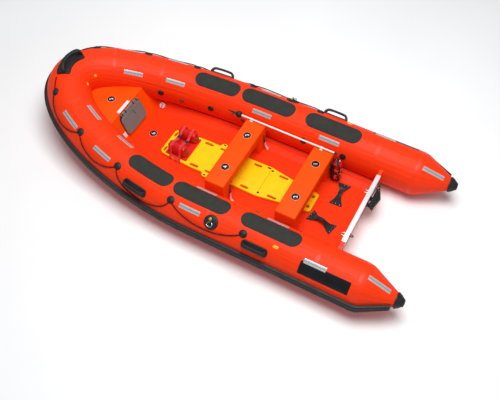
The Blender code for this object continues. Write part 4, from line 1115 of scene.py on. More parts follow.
# Hatch: a moulded black rim bonded round the opening with two pairs of ears for the hinge pins, and a grey
# plastic lid with a raised border that swings up on them. Two small keyhole latches sit near its middle.
HATCH_LID_THICKNESS = 0.014
HATCH_STANDOFF = 0.0052
HINGE_RADIUS = 0.0085
HINGE_PIN_RADIUS = 0.0035
HINGE_KNUCKLES = (-0.105, 0.105)
KNUCKLE_HALF = 0.019
HINGE_EARS = (-0.135, -0.075, 0.075, 0.135)
LATCHES = ((0.020, 0.066), (0.034, 0.034))
leather_grain = cell_relief(0.0007, 260.0, "SMOOTH_F1")
hatch_plastic = weathered("hatch_plastic", "hatch_plastic", (0.178, 0.186, 0.184), 0.60, shine=0.25,
                          cloud=6.0, change=0.10, grain=700.0, depth=0.0002, gloss=0.08,
                          extra=leather_grain)
base = face_matrix(HATCH_MIDDLE_Z)
wear_node_piece("hatch_rim", black_rubber)
for side_name, side in SIDES:
    wear_node_piece("hatch_pin_" + side_name, stainless)
lid_bottom = GAP + HATCH_RIM_THICKNESS + HATCH_STANDOFF
hinge_y = HATCH_HEIGHT / 2 + 0.012
hinge_z = GAP + HATCH_RIM_THICKNESS + 0.006
top_cut = HATCH_HEIGHT / 2 - 0.020


def lid_border(along, across):
    """A raised border 17 mm in from the lid's edge."""
    inset = min(HATCH_WIDTH / 2 - abs(along), HATCH_HEIGHT / 2 - 0.010 - abs(across))
    return 0.0022 * math.exp(-((inset - 0.017) / 0.005) ** 2)


lid = soft_plate(HATCH_WIDTH / 2, HATCH_HEIGHT / 2 - 0.010, HATCH_CORNER - 0.005, HATCH_LID_THICKNESS,
                 0.005, sink=0.0, spacing=0.006, relief=lid_border)
add_piece("hatch_lid_shell", lid, hatch_plastic, base @ moved(0.0, -0.010, lid_bottom), body="hatch",
          replaced=("hatch_lid",), crease=45.0)
for number, centre in enumerate(HINGE_KNUCKLES):
    ring = [(HINGE_PIN_RADIUS + 0.0005, KNUCKLE_HALF), (HINGE_RADIUS - 0.0008, KNUCKLE_HALF),
            (HINGE_RADIUS, 0.0182)]
    ring += [(radius, -along) for radius, along in reversed(ring)]
    rings = [[Vector((centre + along, hinge_y + radius * math.cos(turn), hinge_z + radius * math.sin(turn)))
              for radius, along in ring] for turn in turns(28)]
    add_piece(f"hatch_knuckle_{number}", hoop(rings), hatch_plastic, base, body="hatch")
    low, high = centre - KNUCKLE_HALF, centre + KNUCKLE_HALF
    leaf = extruded([(low, lid_bottom + 0.001), (high, lid_bottom + 0.001), (high, lid_bottom + 0.008),
                     (low, lid_bottom + 0.008)], top_cut - 0.012, hinge_y - HINGE_RADIUS + 0.002, 0.0012)
    add_piece(f"hatch_leaf_{number}", leaf, hatch_plastic, base, body="hatch")
# A hood of the same plastic runs along the lid's top edge and curls over the hinge, so that no hair or cord
# catches. It is cut away at the rim's ears, which it swings past.
HOOD_CLEARANCE = 0.0020
HOOD_SHEET = 0.0020
HOOD_NOTCH = 0.0070
HOOD_INSET = 0.030
lid_top = lid_bottom + HATCH_LID_THICKNESS
hood = [(top_cut - 0.006, lid_top - 0.002), (top_cut - 0.006, lid_top + 0.0006)]
inner_reach = HINGE_RADIUS + HOOD_CLEARANCE
for reach, bends in ((inner_reach + HOOD_SHEET, range(105, 14, -10)), (inner_reach, range(15, 106, 10))):
    hood += [(hinge_y + reach * math.cos(math.radians(bend)),
              hinge_z + reach * math.sin(math.radians(bend))) for bend in bends]
hood_ends = [-HATCH_WIDTH / 2 + HOOD_INSET]
for ear in HINGE_EARS:
    hood_ends += [ear - HOOD_NOTCH, ear + HOOD_NOTCH]
hood_ends.append(HATCH_WIDTH / 2 - HOOD_INSET)
hood_shape = bmesh.new()
for low, high in zip(hood_ends[::2], hood_ends[1::2]):
    if high - low > 0.005:
        strip = bpy.data.meshes.new("hood_strip")
        extruded(hood, low, high, 0.0, axis="x").to_mesh(strip)
        hood_shape.from_mesh(strip)
        bpy.data.meshes.remove(strip)
add_piece("hatch_hood", hood_shape, hatch_plastic, base, body="hatch", crease=50.0)
for number, (across, up) in enumerate(LATCHES):
    latch = turned(((0.0032, 0.0), (0.0032, 0.0060), (0.0024, 0.0078), (0.0, 0.0082), (-0.001, 0.0082),
                    (-0.001, 0.0)), 24)
    stand = base @ moved(across, up, lid_bottom + HATCH_LID_THICKNESS)
    add_piece(f"hatch_latch_{number}", latch, black_rubber, stand, body="hatch")

# Handles: moulded black rubber lifting handles, two on each tube's outboard shoulder and a wide one over
# the stem. Each has a bonded base with a raised rim, and a ribbed grip that stands off it to leave room for
# the hand.
# Name and run of the middle
HANDLE_RUNS = (("aft", 0.715), ("forward", 2.120))
HANDLE_AROUND = 54.0
HANDLE_HALF_LENGTH = 0.145
HANDLE_HALF_GIRTH = 0.0486
HANDLE_BASE = 0.0105
BOW_HALF_LENGTH = 0.150
BOW_HALF_GIRTH = 0.078
BOW_BASE = 0.0135
BASE_RIM_RISE = 0.003
GRIP_RIBS = 15
# Place along the grip as a part of the half-length, height over the skin, half width, half thickness
SIDE_GRIP = ((-0.92, 0.004, 0.030, 0.006), (-0.86, 0.020, 0.027, 0.014), (-0.76, 0.040, 0.022, 0.013),
             (-0.62, 0.050, 0.020, 0.0135), (-0.30, 0.0530, 0.0185, 0.0130), (0.0, 0.0540, 0.0185, 0.0130))
BOW_GRIP = ((-0.94, 0.006, 0.040, 0.008), (-0.88, 0.024, 0.036, 0.018), (-0.78, 0.046, 0.030, 0.018),
            (-0.62, 0.058, 0.0275, 0.0180), (-0.30, 0.0610, 0.0240, 0.0175), (0.0, 0.0620, 0.0240, 0.0175))


def drawn(rows, steps):
    """More rows between the given ones, on smooth curves through them."""
    result = []
    for number in range(len(rows) - 1):
        before, first = rows[max(number - 1, 0)], rows[number]
        second, after = rows[number + 1], rows[min(number + 2, len(rows) - 1)]
        for step in range(steps):
            t = step / steps
            result.append(tuple(0.5 * (2 * b + (c - a) * t + (2 * a - 5 * b + 4 * c - d) * t * t
                                       + (3 * b - a - 3 * c + d) * t ** 3)
                                for a, b, c, d in zip(before, first, second, after)))
    return result + [tuple(rows[-1])]


def bulged(value, power):
    """A sine or cosine raised to a power with its sign kept, which squares up or thins out a round."""
    return math.copysign(abs(value) ** power, value)


def squared_section(half_width, half_depth, power, sides):
    """A section between an oval and a rectangle."""
    return [(half_width * bulged(math.cos(turn), power), half_depth * bulged(math.sin(turn), power))
            for turn in turns(sides)]


def grip(side, run, around, half_length, rows):
    """A ribbed grip over the tube's skin, from rows for one half that are mirrored to the other."""
    rows = list(rows) + [(-row[0], *row[1:]) for row in reversed(rows[:-1])]
    points, outs, sizes = [], [], []
    for part, height, half_width, half_depth in drawn(rows, 8):
        point, out = on_tube(run + part * half_length, side, around, height)
        points.append(point)
        outs.append(out)
        rib = 1.0 + (0.055 * math.cos(part * GRIP_RIBS * math.pi) if abs(part) < 0.60 else 0.0)
        sizes.append((half_width * rib, half_depth * rib))

    def section(part):
        half_width, half_depth = sizes[round(part * (len(sizes) - 1))]
        return squared_section(half_width, half_depth, 0.62, 24)

    return swept(points, section, outs)


def base_rim(half_u, half_v):
    """Relief of a handle's base: a raised rim, and a shallow dish under the fingers."""
    def relief(along, across):
        inset = min(half_u - abs(along), half_v - abs(across))
        dish = max(0.0, 1 - (along / (half_u * 0.62)) ** 4) * max(0.0, 1 - (across / (half_v * 0.62)) ** 2)
        return BASE_RIM_RISE * math.exp(-((inset - 0.009) / 0.004) ** 2) - 0.004 * dish
    return relief


for side_name, side in SIDES:
    for place_name, run in HANDLE_RUNS:
        name = f"handle_{side_name}_{place_name}"
        base_plate = soft_plate(HANDLE_HALF_LENGTH, HANDLE_HALF_GIRTH, 0.042, HANDLE_BASE, 0.005,
                                spacing=0.006, relief=base_rim(HANDLE_HALF_LENGTH, HANDLE_HALF_GIRTH))
        add_piece(name, wrapped(base_plate, side, run, HANDLE_AROUND), black_rubber, crease=50.0)
        add_piece(name + "_grip", grip(side, run, HANDLE_AROUND, HANDLE_HALF_LENGTH, SIDE_GRIP),
                  black_rubber, crease=50.0)
bow_base = soft_plate(BOW_HALF_LENGTH, BOW_HALF_GIRTH, 0.030, BOW_BASE, 0.006, spacing=0.007,
                      relief=base_rim(BOW_HALF_LENGTH, BOW_HALF_GIRTH))
add_piece("bow_handle", wrapped(bow_base, 1, STEM_RUN, 4.5), black_rubber, crease=50.0)
add_piece("bow_handle_grip", grip(1, STEM_RUN, 5.0, BOW_HALF_LENGTH, BOW_GRIP), black_rubber, crease=50.0)

# Grab lines: one black laid rope a side, rove through five moulded patches and made fast at its ends. It
# hangs slack between the patches, down the tube's side to just over the strake. Each patch is a domed
# rubber disc with a tunnel for the rope.
GRAB_RUNS = (0.870, 1.700, 2.400, 2.970, 3.500)
GRAB_AROUND = 33.0
# How far the rope sags round the tube in degrees, and the power of its curve, where 1 is a plain arc
GRAB_SAG = (31.0, 0.75)
GRAB_SAG_BY_HANDLE = (43.0, 0.45)
GRAB_END_RUN = 3.635
GRAB_END_AROUND = 22.0
ROPE_RADIUS = 0.006
ROPE_LIFT = 0.0085
ROPE_LAY = 0.040
ROPE_STEP = 0.006
ROPE_EASE = 6
PATCH_DOME = ((0.0165, 0.0), (0.0163, 0.010), (0.0150, 0.020), (0.0120, 0.028), (0.0070, 0.035),
              (0.0045, 0.0375), (0.0040, 0.041), (0.0028, 0.043), (-0.004, 0.043), (-0.004, 0.0))


def grab_route(side):
    """Points of one grab line with the way out at each: through each patch, and slack between them.
    Its turns at the patches are eased to what the rope can take."""
    points = []
    stops = [(GRAB_RUNS[0] - 0.035, GRAB_AROUND), *((run, GRAB_AROUND) for run in GRAB_RUNS),
             (GRAB_END_RUN, GRAB_END_AROUND)]
    for (start, start_angle), (end, end_angle) in zip(stops, stops[1:]):
        short = end - start < 0.3
        steps = 3 if short else 10
        sag, fullness = GRAB_SAG_BY_HANDLE if start < HANDLE_RUNS[1][1] < end else GRAB_SAG
        for step in range(steps):
            part = (1 - math.cos(math.pi * step / steps)) / 2
            around = start_angle + (end_angle - start_angle) * part
            around += 0.0 if short else sag * math.sin(math.pi * part) ** fullness
            points.append(Vector((start + (end - start) * part, math.radians(around) * TUBE_RADIUS)))
    points.append(Vector((stops[-1][0], math.radians(stops[-1][1]) * TUBE_RADIUS)))
    even = [points[0]]
    for first, second in zip(points, points[1:]):
        count = max(1, round((second - first).length / ROPE_STEP))
        even += [first.lerp(second, number / count) for number in range(1, count + 1)]
    for easing in range(2):
        reaches = [min(number, len(even) - 1 - number, ROPE_EASE) for number in range(len(even))]
        even = [sum(even[number - reach:number + reach + 1], Vector((0, 0))) / (2 * reach + 1)
                for number, reach in enumerate(reaches)]
    return [on_tube(run, side, math.degrees(arc / TUBE_RADIUS), ROPE_LIFT) for run, arc in even]


def laid_rope(name):
    """Geometry Nodes tree that lays three strands round a line, turning once in each lay length."""
    tree, given = open_tree(name, **{"Rope radius": "Float", "Lay length": "Float", "Step": "Float"})
    even = add_node(tree, "GeometryNodeResampleCurve",
                    {"Curve": given["Geometry"], "Length": given["Step"]}, mode="LENGTH")
    run = add_node(tree, "GeometryNodeSplineParameter").outputs["Length"]
    lays = add_node(tree, "ShaderNodeMath", {0: run, 1: given["Lay length"]}, operation="DIVIDE")
    turn = add_node(tree, "ShaderNodeMath", {0: lays.outputs["Value"], 1: 2 * math.pi},
                    operation="MULTIPLY")
    twisted = add_node(tree, "GeometryNodeSetCurveTilt",
                       {"Curve": even.outputs["Curve"], "Tilt": turn.outputs["Value"]})
    ring = add_node(tree, "GeometryNodeCurvePrimitiveCircle", {"Resolution": 24}, mode="RADIUS")
    tree.links.new(given["Rope radius"], ring.inputs["Radius"])
    # Three lobes: the section swells and dips three times round.
    place = add_node(tree, "GeometryNodeInputPosition").outputs["Position"]
    split = add_node(tree, "ShaderNodeSeparateXYZ", {"Vector": place})
    angle = add_node(tree, "ShaderNodeMath", {0: split.outputs["Y"], 1: split.outputs["X"]},
                     operation="ARCTAN2")
    three = add_node(tree, "ShaderNodeMath", {0: angle.outputs["Value"], 1: 1.5}, operation="MULTIPLY")
    wave = add_node(tree, "ShaderNodeMath", {0: three.outputs["Value"]}, operation="SINE")
    lobe = add_node(tree, "ShaderNodeMath", {0: wave.outputs["Value"]}, operation="ABSOLUTE")
    size = add_node(tree, "ShaderNodeMapRange",
                    {"Value": lobe.outputs["Value"], "To Min": 0.72, "To Max": 1.0})
    swelled = add_node(tree, "ShaderNodeVectorMath", {0: place, "Scale": size.outputs["Result"]},
                       operation="SCALE")
    section = add_node(tree, "GeometryNodeSetPosition", {"Geometry": ring.outputs["Curve"],
                                                         "Position": swelled.outputs["Vector"]})
    rope = add_node(tree, "GeometryNodeCurveToMesh",
                    {"Curve": twisted.outputs["Curve"], "Profile Curve": section.outputs["Geometry"],
                     "Fill Caps": True})
    close_tree(tree, given, rope.outputs["Mesh"])
    return tree


def line_data(name, points):
    """A plain open curve through points, for a tree to work along."""
    data = bpy.data.curves.new(name, "CURVE")
    data.dimensions = "3D"
    data.twist_mode = "Z_UP"
    spline = data.splines.new("POLY")
    spline.points.add(len(points) - 1)
    for place, point in zip(spline.points, points):
        place.co = (*point, 1.0)
    return data


rope_fibre = weathered("black_rope_fibre", "rope", (0.010, 0.010, 0.011), 0.82, shine=0.25, cloud=40.0,
                       change=0.35, grain=1500.0, depth=0.0004, gloss=0.08,
                       extra=fine_relief(0.0009, 1.0, 3.0, stretch=(500.0, 500.0, 2600.0)))
rope_tree = laid_rope("laid_rope")
for side_name, side in SIDES:
    name = "grab_line_" + side_name
    route = [point for point, out in grab_route(side)]
    line = grown(name, line_data(name, route), rope_tree,
                 {"Rope radius": ROPE_RADIUS, "Lay length": ROPE_LAY, "Step": 0.004}, rope_fibre,
                 crease=60.0)
    length = sum((b - a).length for a, b in zip(route, route[1:]))
    for number, run in enumerate(GRAB_RUNS):
        foot, out = on_tube(run, side, GRAB_AROUND)
        ahead = tube_frame(run, side)[3]
        stand = Matrix.Translation(foot) @ axes(ahead, out.cross(ahead), out)
        dome = turned(PATCH_DOME, 40)
        for vert in dome.verts:
            # The underside follows the tube, and a tunnel is raised over the rope.
            if vert.co.z > 0:
                tunnel = math.exp(-(vert.co.y / 0.0105) ** 2) * (1 - (vert.co.x / 0.05) ** 2)
                vert.co.z = max(vert.co.z, 0.0175 * tunnel) - vert.co.y ** 2 / (2 * TUBE_RADIUS)
            else:
                vert.co.z -= vert.co.y ** 2 / (2 * TUBE_RADIUS)
        add_piece(f"{name}_patch_{number}", dome, black_rubber, stand, crease=55.0)

# Towing ring patches: a large reinforced rubber disc on each side with a stitched-in rim line, and a strap
# loop that holds a welded stainless D-ring with a small brass keeper.
RING_RUN = 1.220
RING_AROUND = 40.0
RING_PATCH_PROFILE = ((0.0115, 0.0), (0.0115, 0.045), (0.0106, 0.052), (0.0098, 0.054), (0.0106, 0.056),
                      (0.0100, 0.063), (0.0070, 0.071), (0.0035, 0.0765), (0.0012, 0.078), (-0.003, 0.078),
                      (-0.003, 0.0))
RING_WIRE = 0.0038
RING_HALF_WIDTH = 0.027
RING_HALF_DEPTH = 0.0234
brass = weathered("worn_brass", "stainless", (0.80, 0.46, 0.06), 0.45, metallic=0.6, cloud=60.0,
                  change=0.15, grain=900.0, depth=0.0002, gloss=0.10)


def ring_points(centre, along, across, wide, deep, steps=48, sharp=1.0):
    """Points round a ring, from its middle outwards across, and squared up by a power."""
    return [centre + along * wide * bulged(math.sin(turn), sharp) + across * deep * (1 - math.cos(turn))
            for turn in turns(steps)]


for side_name, side in SIDES:
    foot, out = on_tube(RING_RUN, side, RING_AROUND, 0.0005)
    disc = turned(RING_PATCH_PROFILE, 56)
    ahead = tube_frame(RING_RUN, side)[3]
    across = out.cross(ahead).normalized()
    stand = Matrix.Translation(foot) @ axes(ahead, across, out)
    for vert in disc.verts:
        vert.co.z -= vert.co.y ** 2 / (2 * TUBE_RADIUS)
    add_piece("ring_patch_" + side_name, disc, black_rubber, stand, crease=50.0)
    bar_centre = foot + out * 0.016
    tilt = across if across.z < 0 else -across
    fall = (tilt * 0.95 + out * 0.22).normalized()
    ring_line = ring_points(bar_centre, ahead, fall, RING_HALF_WIDTH, RING_HALF_DEPTH, sharp=0.8)
    middle = bar_centre + fall * RING_HALF_DEPTH
    add_piece("ring_" + side_name,
              swept(ring_line, round_section(RING_WIRE, 14), [point - middle for point in ring_line],
                    closed=True), stainless)
    strap_rows = [(-0.034, 0.0125), (-0.020, 0.0130), (-0.0115, 0.0155), (-0.0065, 0.0215), (0.0, 0.0235)]
    strap_rows += [(-place, height) for place, height in reversed(strap_rows[:-1])]
    line = [foot + tilt * place + out * (height - place ** 2 / (2 * TUBE_RADIUS))
            for place, height in drawn(strap_rows, 5)]
    band = [(-0.0115, -0.0012), (0.0115, -0.0012), (0.0120, 0.0), (0.0115, 0.0012), (-0.0115, 0.0012),
            (-0.0120, 0.0)]
    add_piece("ring_strap_" + side_name, swept(line, band, out), black_rubber, crease=50.0)
    keeper = turned(((0.0065, 0.0), (0.0065, 0.0120), (0.0045, 0.0150), (-0.0035, 0.0150), (-0.0035, 0.0)),
                    32)
    above = 0.032 if tilt.dot(across) < 0 else -0.032
    add_piece("ring_keeper_" + side_name, keeper, brass, stand @ moved(0.014, above, 0.014))

# Reflective tapes: strips of silver film with a blue-grey stripe down the middle and a fine honeycomb
# print, stuck on the outer shoulder and on the inner side of each tube, and on the stern cones.
TAPE_HALF_LENGTH = 0.118
TAPE_HALF_WIDTH = 0.0245
TAPE_THICKNESS = 0.0007
# Run of the middle, then the angle outboard of the crown on the port and on the starboard side, in degrees
TAPES = ((3.150, 34.0, 34.0), (2.630, 34.0, 34.0), (1.480, 34.0, 34.0), (0.100, 30.0, 34.0),
         (3.090, -30.0, -47.0), (2.570, -37.0, -42.0), (1.450, -41.0, -46.0), (0.630, -41.0, -46.0),
         (-0.515, 2.0, -20.0))


def mapped(piece, side, run, around):
    """Gives a piece on the tube a map of its own length and width, in metres."""
    layer = piece.data.uv_layers.new(name="strip")
    centre = on_tube(run, side, around)[0]
    ahead = (on_tube(run + 0.01, side, around)[0] - centre).normalized()
    beside = (on_tube(run, side, around + 1.0)[0] - centre).normalized()
    for loop in piece.data.loops:
        off = piece.data.vertices[loop.vertex_index].co - centre
        layer.data[loop.index].uv = (off.dot(ahead), off.dot(beside))
    return piece


def reflective_film():
    material, tree, shader, place = start_finish("reflective_film", (0.55, 0.56, 0.57), 0.34, metallic=0.35)
    strip = add_node(tree, "ShaderNodeUVMap", uv_map="strip").outputs["UV"]
    across = add_node(tree, "ShaderNodeSeparateXYZ", {"Vector": strip}).outputs["Y"]
    off = add_node(tree, "ShaderNodeMath", {0: across}, operation="ABSOLUTE").outputs["Value"]
    cells = add_node(tree, "ShaderNodeTexVoronoi", {"Vector": strip, "Scale": 190.0},
                     feature="DISTANCE_TO_EDGE")
    print_tone = tone(tree, cells.outputs["Distance"],
                      ((0.02, (0.36, 0.37, 0.38)), (0.12, (0.60, 0.60, 0.60))))
    stripe = tone(tree, off, ((0.0045, (0.58, 0.62, 0.68)), (0.0060, (1.0, 1.0, 1.0))))
    mixed = add_node(tree, "ShaderNodeMix", {"Factor": 1.0}, data_type="RGBA", blend_type="MULTIPLY")
    tree.links.new(print_tone, mixed.inputs[6])
    tree.links.new(stripe, mixed.inputs[7])
    tree.links.new(mixed.outputs[2], shader.inputs["Base Color"])
    relief = add_node(tree, "ShaderNodeBump",
                      {"Height": cells.outputs["Distance"], "Distance": 0.0004, "Strength": 0.6})
    tree.links.new(relief.outputs["Normal"], shader.inputs["Normal"])
    return material, "hatch_trim"


film = reflective_film()
for side_name, side in SIDES:
    for number, (run, *angles) in enumerate(TAPES):
        around = angles[0 if side > 0 else 1]
        strip = soft_plate(TAPE_HALF_LENGTH, TAPE_HALF_WIDTH, 0.004, TAPE_THICKNESS, 0.0008, spacing=0.008)
        tape = add_piece(f"reflective_tape_{side_name}_{number}",
                         wrapped(strip, side, run, around, 0.0, 0.0004), film)
        mapped(tape, side, run, around)

# Side plates: blank panels of black vinyl film on the outboard quarter of each tube. Amber markers: small
# domed plastic reflectors by the aft handles and inside the stem.
PLATE_RUN = -0.020
PLATE_AROUND = 48.0
PLATE_HALF_LENGTH = 0.262
PLATE_HALF_WIDTH = 0.069
vinyl = weathered("black_vinyl_film", "black_rubber", (0.006, 0.006, 0.007), 0.42, shine=0.25, cloud=7.0,
                  change=0.25, grain=300.0, depth=0.0001, gloss=0.06)
amber = weathered("amber_plastic", "board_plastic", (0.92, 0.38, 0.004), 0.25, coat=0.4, cloud=40.0,
                  change=0.12, grain=500.0, depth=0.0002, gloss=0.06)
for side_name, side in SIDES:
    panel = soft_plate(PLATE_HALF_LENGTH, PLATE_HALF_WIDTH, 0.006, 0.0006, 0.0008, spacing=0.012)
    add_piece("side_plate_" + side_name, wrapped(panel, side, PLATE_RUN, PLATE_AROUND, 0.0, 0.0004), vinyl)
    for place_name, run, around in (("aft", 0.520, 30.0), ("stem", 3.610, -66.0)):
        lens = soft_plate(0.030, 0.017, 0.015, 0.007, 0.008, spacing=0.005)
        add_piece(f"amber_marker_{side_name}_{place_name}", wrapped(lens, side, run, around), amber)

# Air valves: black plastic valves screwed into the inner side of each tube, one to each air chamber or
# baffle space, with a knurled cap. Two smaller lashing cleats sit between them.
VALVES = ((2.720, -84.0), (2.080, -84.0), (0.900, -72.0), (0.430, -72.0))
CLEATS = ((2.450, -90.0), (1.660, -84.0))
VALVE_PROFILE = ((0.0105, 0.0), (0.0105, 0.012), (0.0095, 0.0135), (0.0070, 0.014), (0.0062, 0.020),
                 (0.0078, 0.022), (0.0078, 0.028), (0.0060, 0.033), (0.0025, 0.036), (-0.003, 0.037),
                 (-0.003, 0.0))
moulded_black = weathered("moulded_black_plastic", "black_rubber", (0.014, 0.014, 0.015), 0.42, shine=0.45,
                          cloud=20.0, change=0.25, grain=900.0, depth=0.0003, gloss=0.10,
                          extra=leather_grain)


def knurled(profile, teeth, depth, low, high):
    """A turned body whose rim between two radii is cut with fine teeth."""
    bm = turned(profile, 96)
    for vert in bm.verts:
        radius = math.hypot(vert.co.x, vert.co.y)
        if low < radius < high and vert.co.z > 0.002:
            turn = math.atan2(vert.co.y, vert.co.x)
            factor = 1 - depth * (0.5 + 0.5 * math.cos(teeth * turn))
            vert.co.x, vert.co.y = vert.co.x * factor, vert.co.y * factor
    return bm


def on_skin(run, side, around, lift):
    """Placement on the tube's skin: x ahead, z out of it."""
    foot, out = on_tube(run, side, around, lift)
    ahead = tube_frame(run, side)[3]
    ahead = (ahead - out * ahead.dot(out)).normalized()
    return Matrix.Translation(foot) @ axes(ahead, out.cross(ahead), out)


for side_name, side in SIDES:
    for number, (run, around) in enumerate(VALVES):
        valve = knurled(VALVE_PROFILE, 24, 0.05, 0.010, 0.0145)
        add_piece(f"air_valve_{side_name}_{number}", valve, moulded_black,
                  on_skin(run, side, around, -0.0005), crease=45.0)
    for number, (run, around) in enumerate(CLEATS):
        cleat = soft_plate(0.026, 0.013, 0.012, 0.009, 0.006, spacing=0.004,
                           relief=lambda along, across: 0.007 * math.exp(-(abs(along) / 0.008) ** 2))
        add_piece(f"lashing_cleat_{side_name}_{number}", wrapped(cleat, side, run, around), moulded_black)

# Seat numbers: black vinyl discs with a plain white numeral, stuck on the thwarts, the floor and the
# foredeck.
# Numeral, station, y, height, turn in degrees
SEAT_NUMBERS = (("1", 0.624, -0.245, THWART_TOP, -60.0), ("2", 0.624, 0.235, THWART_TOP, -60.0),
                ("3", 1.445, -0.250, THWART_TOP, -60.0), ("4", 1.445, 0.240, THWART_TOP, -60.0),
                ("5", 3.055, 0.0, LOCKER_TOP, -60.0), ("6", 2.555, -0.028, SOLE_Z, -60.0))
NUMBER_RADIUS = 0.043
NUMERAL_HEIGHT = 0.043
white_vinyl = weathered("white_vinyl_film", "white_plastic", (0.82, 0.82, 0.80), 0.35, cloud=9.0,
                        change=0.05, grain=300.0, depth=0.0001, gloss=0.06)


def numeral(text, height, depth):
    """A numeral as a plain closed mesh, centred on its own origin."""
    data = bpy.data.curves.new("numeral", "FONT")
    data.body = text
    data.size = height / 0.70
    data.extrude = depth / 2
    data.offset = 0.0006
    holder = bpy.data.objects.new("numeral", data)
    bpy.context.scene.collection.objects.link(holder)
    bpy.context.view_layer.update()
    mesh = bpy.data.meshes.new_from_object(holder.evaluated_get(bpy.context.evaluated_depsgraph_get()))
    bpy.data.objects.remove(holder, do_unlink=True)
    bm = bmesh.new()
    bm.from_mesh(mesh)
    bmesh.ops.remove_doubles(bm, verts=bm.verts, dist=0.00001)
    low = Vector([min(vert.co[axis] for vert in bm.verts) for axis in range(3)])
    high = Vector([max(vert.co[axis] for vert in bm.verts) for axis in range(3)])
    bmesh.ops.translate(bm, vec=-(low + high) / 2, verts=bm.verts)
    return bm


for text, station, y, height, turn in SEAT_NUMBERS:
    stand = moved(sta(station), y, height) @ turned_by(turn, "Z")
    disc = turned(((0.0009, 0.0), (0.0009, NUMBER_RADIUS - 0.0006), (0.0006, NUMBER_RADIUS),
                   (-0.0006, NUMBER_RADIUS), (-0.0006, 0.0)), 56)
    add_piece("seat_disc_" + text, disc, vinyl, stand)
    backing = turned(((0.0005, 0.0), (0.0005, NUMBER_RADIUS + 0.0008), (0.0002, NUMBER_RADIUS + 0.0012),
                      (-0.0006, NUMBER_RADIUS + 0.0012), (-0.0006, 0.0)), 56)
    add_piece("seat_ring_" + text, backing, white_vinyl, stand)
    add_piece("seat_numeral_" + text, numeral(text, NUMERAL_HEIGHT, 0.0008), white_vinyl,
              stand @ moved(0, 0, 0.0011), crease=30.0)

# Stretcher: a folding rescue board in yellow rotation-moulded plastic, strapped down on the sole under the
# thwarts. Its two halves meet at a fold with black latches, and hand slots run along both edges.
STRETCHER_FOOT = 0.490
STRETCHER_FOLD = 1.100
STRETCHER_HEAD = 2.330
STRETCHER_THICKNESS = 0.040
# Half-outline of the board: station, half-width
BOARD_OUTLINE = ((0.490, 0.112), (0.515, 0.130), (0.600, 0.140), (0.835, 0.168), (1.100, 0.212),
                 (1.400, 0.207), (1.655, 0.209), (1.678, 0.240), (1.705, 0.256), (1.735, 0.256),
                 (1.757, 0.240), (1.775, 0.211), (1.900, 0.212), (2.020, 0.205), (2.260, 0.188),
                 (2.310, 0.176), (2.330, 0.150))
# Hand slots on each side of the board: station of the middle, half-length, half-width, inset from the edge
HAND_SLOTS = ((0.540, 0.020, 0.018, 0.062), (0.700, 0.050, 0.012, 0.030), (0.933, 0.055, 0.013, 0.036),
              (1.260, 0.048, 0.014, 0.044), (1.430, 0.026, 0.013, 0.032), (1.700, 0.050, 0.012, 0.076),
              (1.890, 0.054, 0.014, 0.040))
# Grips across the corners of the head end: station, y of the middle, half-length across the board,
# half-width
HEAD_GRIPS = (2.297, 0.116, 0.034, 0.013)
BOARD_EDGE = 0.007
yellow_plastic = weathered("yellow_board_plastic", "board_plastic", (0.93, 0.585, 0.002), 0.46, shine=0.2,
                           cloud=5.0, change=0.06, grain=600.0, depth=0.0002, gloss=0.08, extra=orange_peel)


def board_half_width(station):
    for (low, first), (high, second) in zip(BOARD_OUTLINE, BOARD_OUTLINE[1:]):
        if low <= station <= high:
            return first + (second - first) * (station - low) / (high - low)
    return BOARD_OUTLINE[-1][1]


def slot_outline(x, y, half_length, half_width):
    points = []
    for end, sign in ((0, 1), (1, -1)):
        for step in range(9):
            angle = math.radians(-90 + 180 * end + 22.5 * step)
            points.append((x + sign * (half_length - half_width) + half_width * math.cos(angle),
                           y + half_width * math.sin(angle)))
    return points


def rolled_plate(name, outline, thickness, edge, holes):
    """A flat outline with holes, filled and given rolled edges, as a plain mesh about its middle plane."""
    data = bpy.data.curves.new(name, "CURVE")
    data.dimensions = "2D"
    data.fill_mode = "BOTH"
    data.extrude = thickness / 2 - edge
    data.bevel_depth = edge
    data.bevel_resolution = 3
    data.offset = -edge
    for loop in (outline, *holes):
        spline = data.splines.new("POLY")
        spline.points.add(len(loop) - 1)
        for place, (x, y) in zip(spline.points, loop):
            place.co = (x, y, 0.0, 1.0)
        spline.use_cyclic_u = True
    holder = shown(name, data)
    mesh = plain_mesh(holder)
    bpy.data.objects.remove(holder, do_unlink=True)
    bm = bmesh.new()
    bm.from_mesh(mesh)
    bmesh.ops.remove_doubles(bm, verts=bm.verts, dist=0.00003)
    return bm


board_middle = SOLE_Z + GAP + STRETCHER_THICKNESS / 2
board_top = SOLE_Z + GAP + STRETCHER_THICKNESS
for name, low, high in (("stretcher_foot", STRETCHER_FOOT, STRETCHER_FOLD - 0.0006),
                        ("stretcher_head", STRETCHER_FOLD + 0.0006, STRETCHER_HEAD)):
    half = [row for row in BOARD_OUTLINE if low < row[0] < high]
    rows = [(low, board_half_width(low)), *half, (high, board_half_width(high))]
    port = [(sta(x), y) for x, y in drawn(rows, 3)]
    outline = port + [(x, -y) for x, y in reversed(port)]
    holes = []
    for station, half_length, half_width, inset in HAND_SLOTS:
        if low < station < high:
            holes += [slot_outline(sta(station), side * (board_half_width(station) - inset), half_length,
                                   half_width) for side_name, side in SIDES]
    station, y, half_length, half_width = HEAD_GRIPS
    if low < station < high:
        holes += [[(sta(station) + across, side * y + along)
                   for along, across in slot_outline(0.0, 0.0, half_length, half_width)]
                  for side_name, side in SIDES]
    plate = rolled_plate(name, outline, STRETCHER_THICKNESS, BOARD_EDGE, holes)
    add_piece(name, plate, yellow_plastic, moved(0, 0, board_middle))
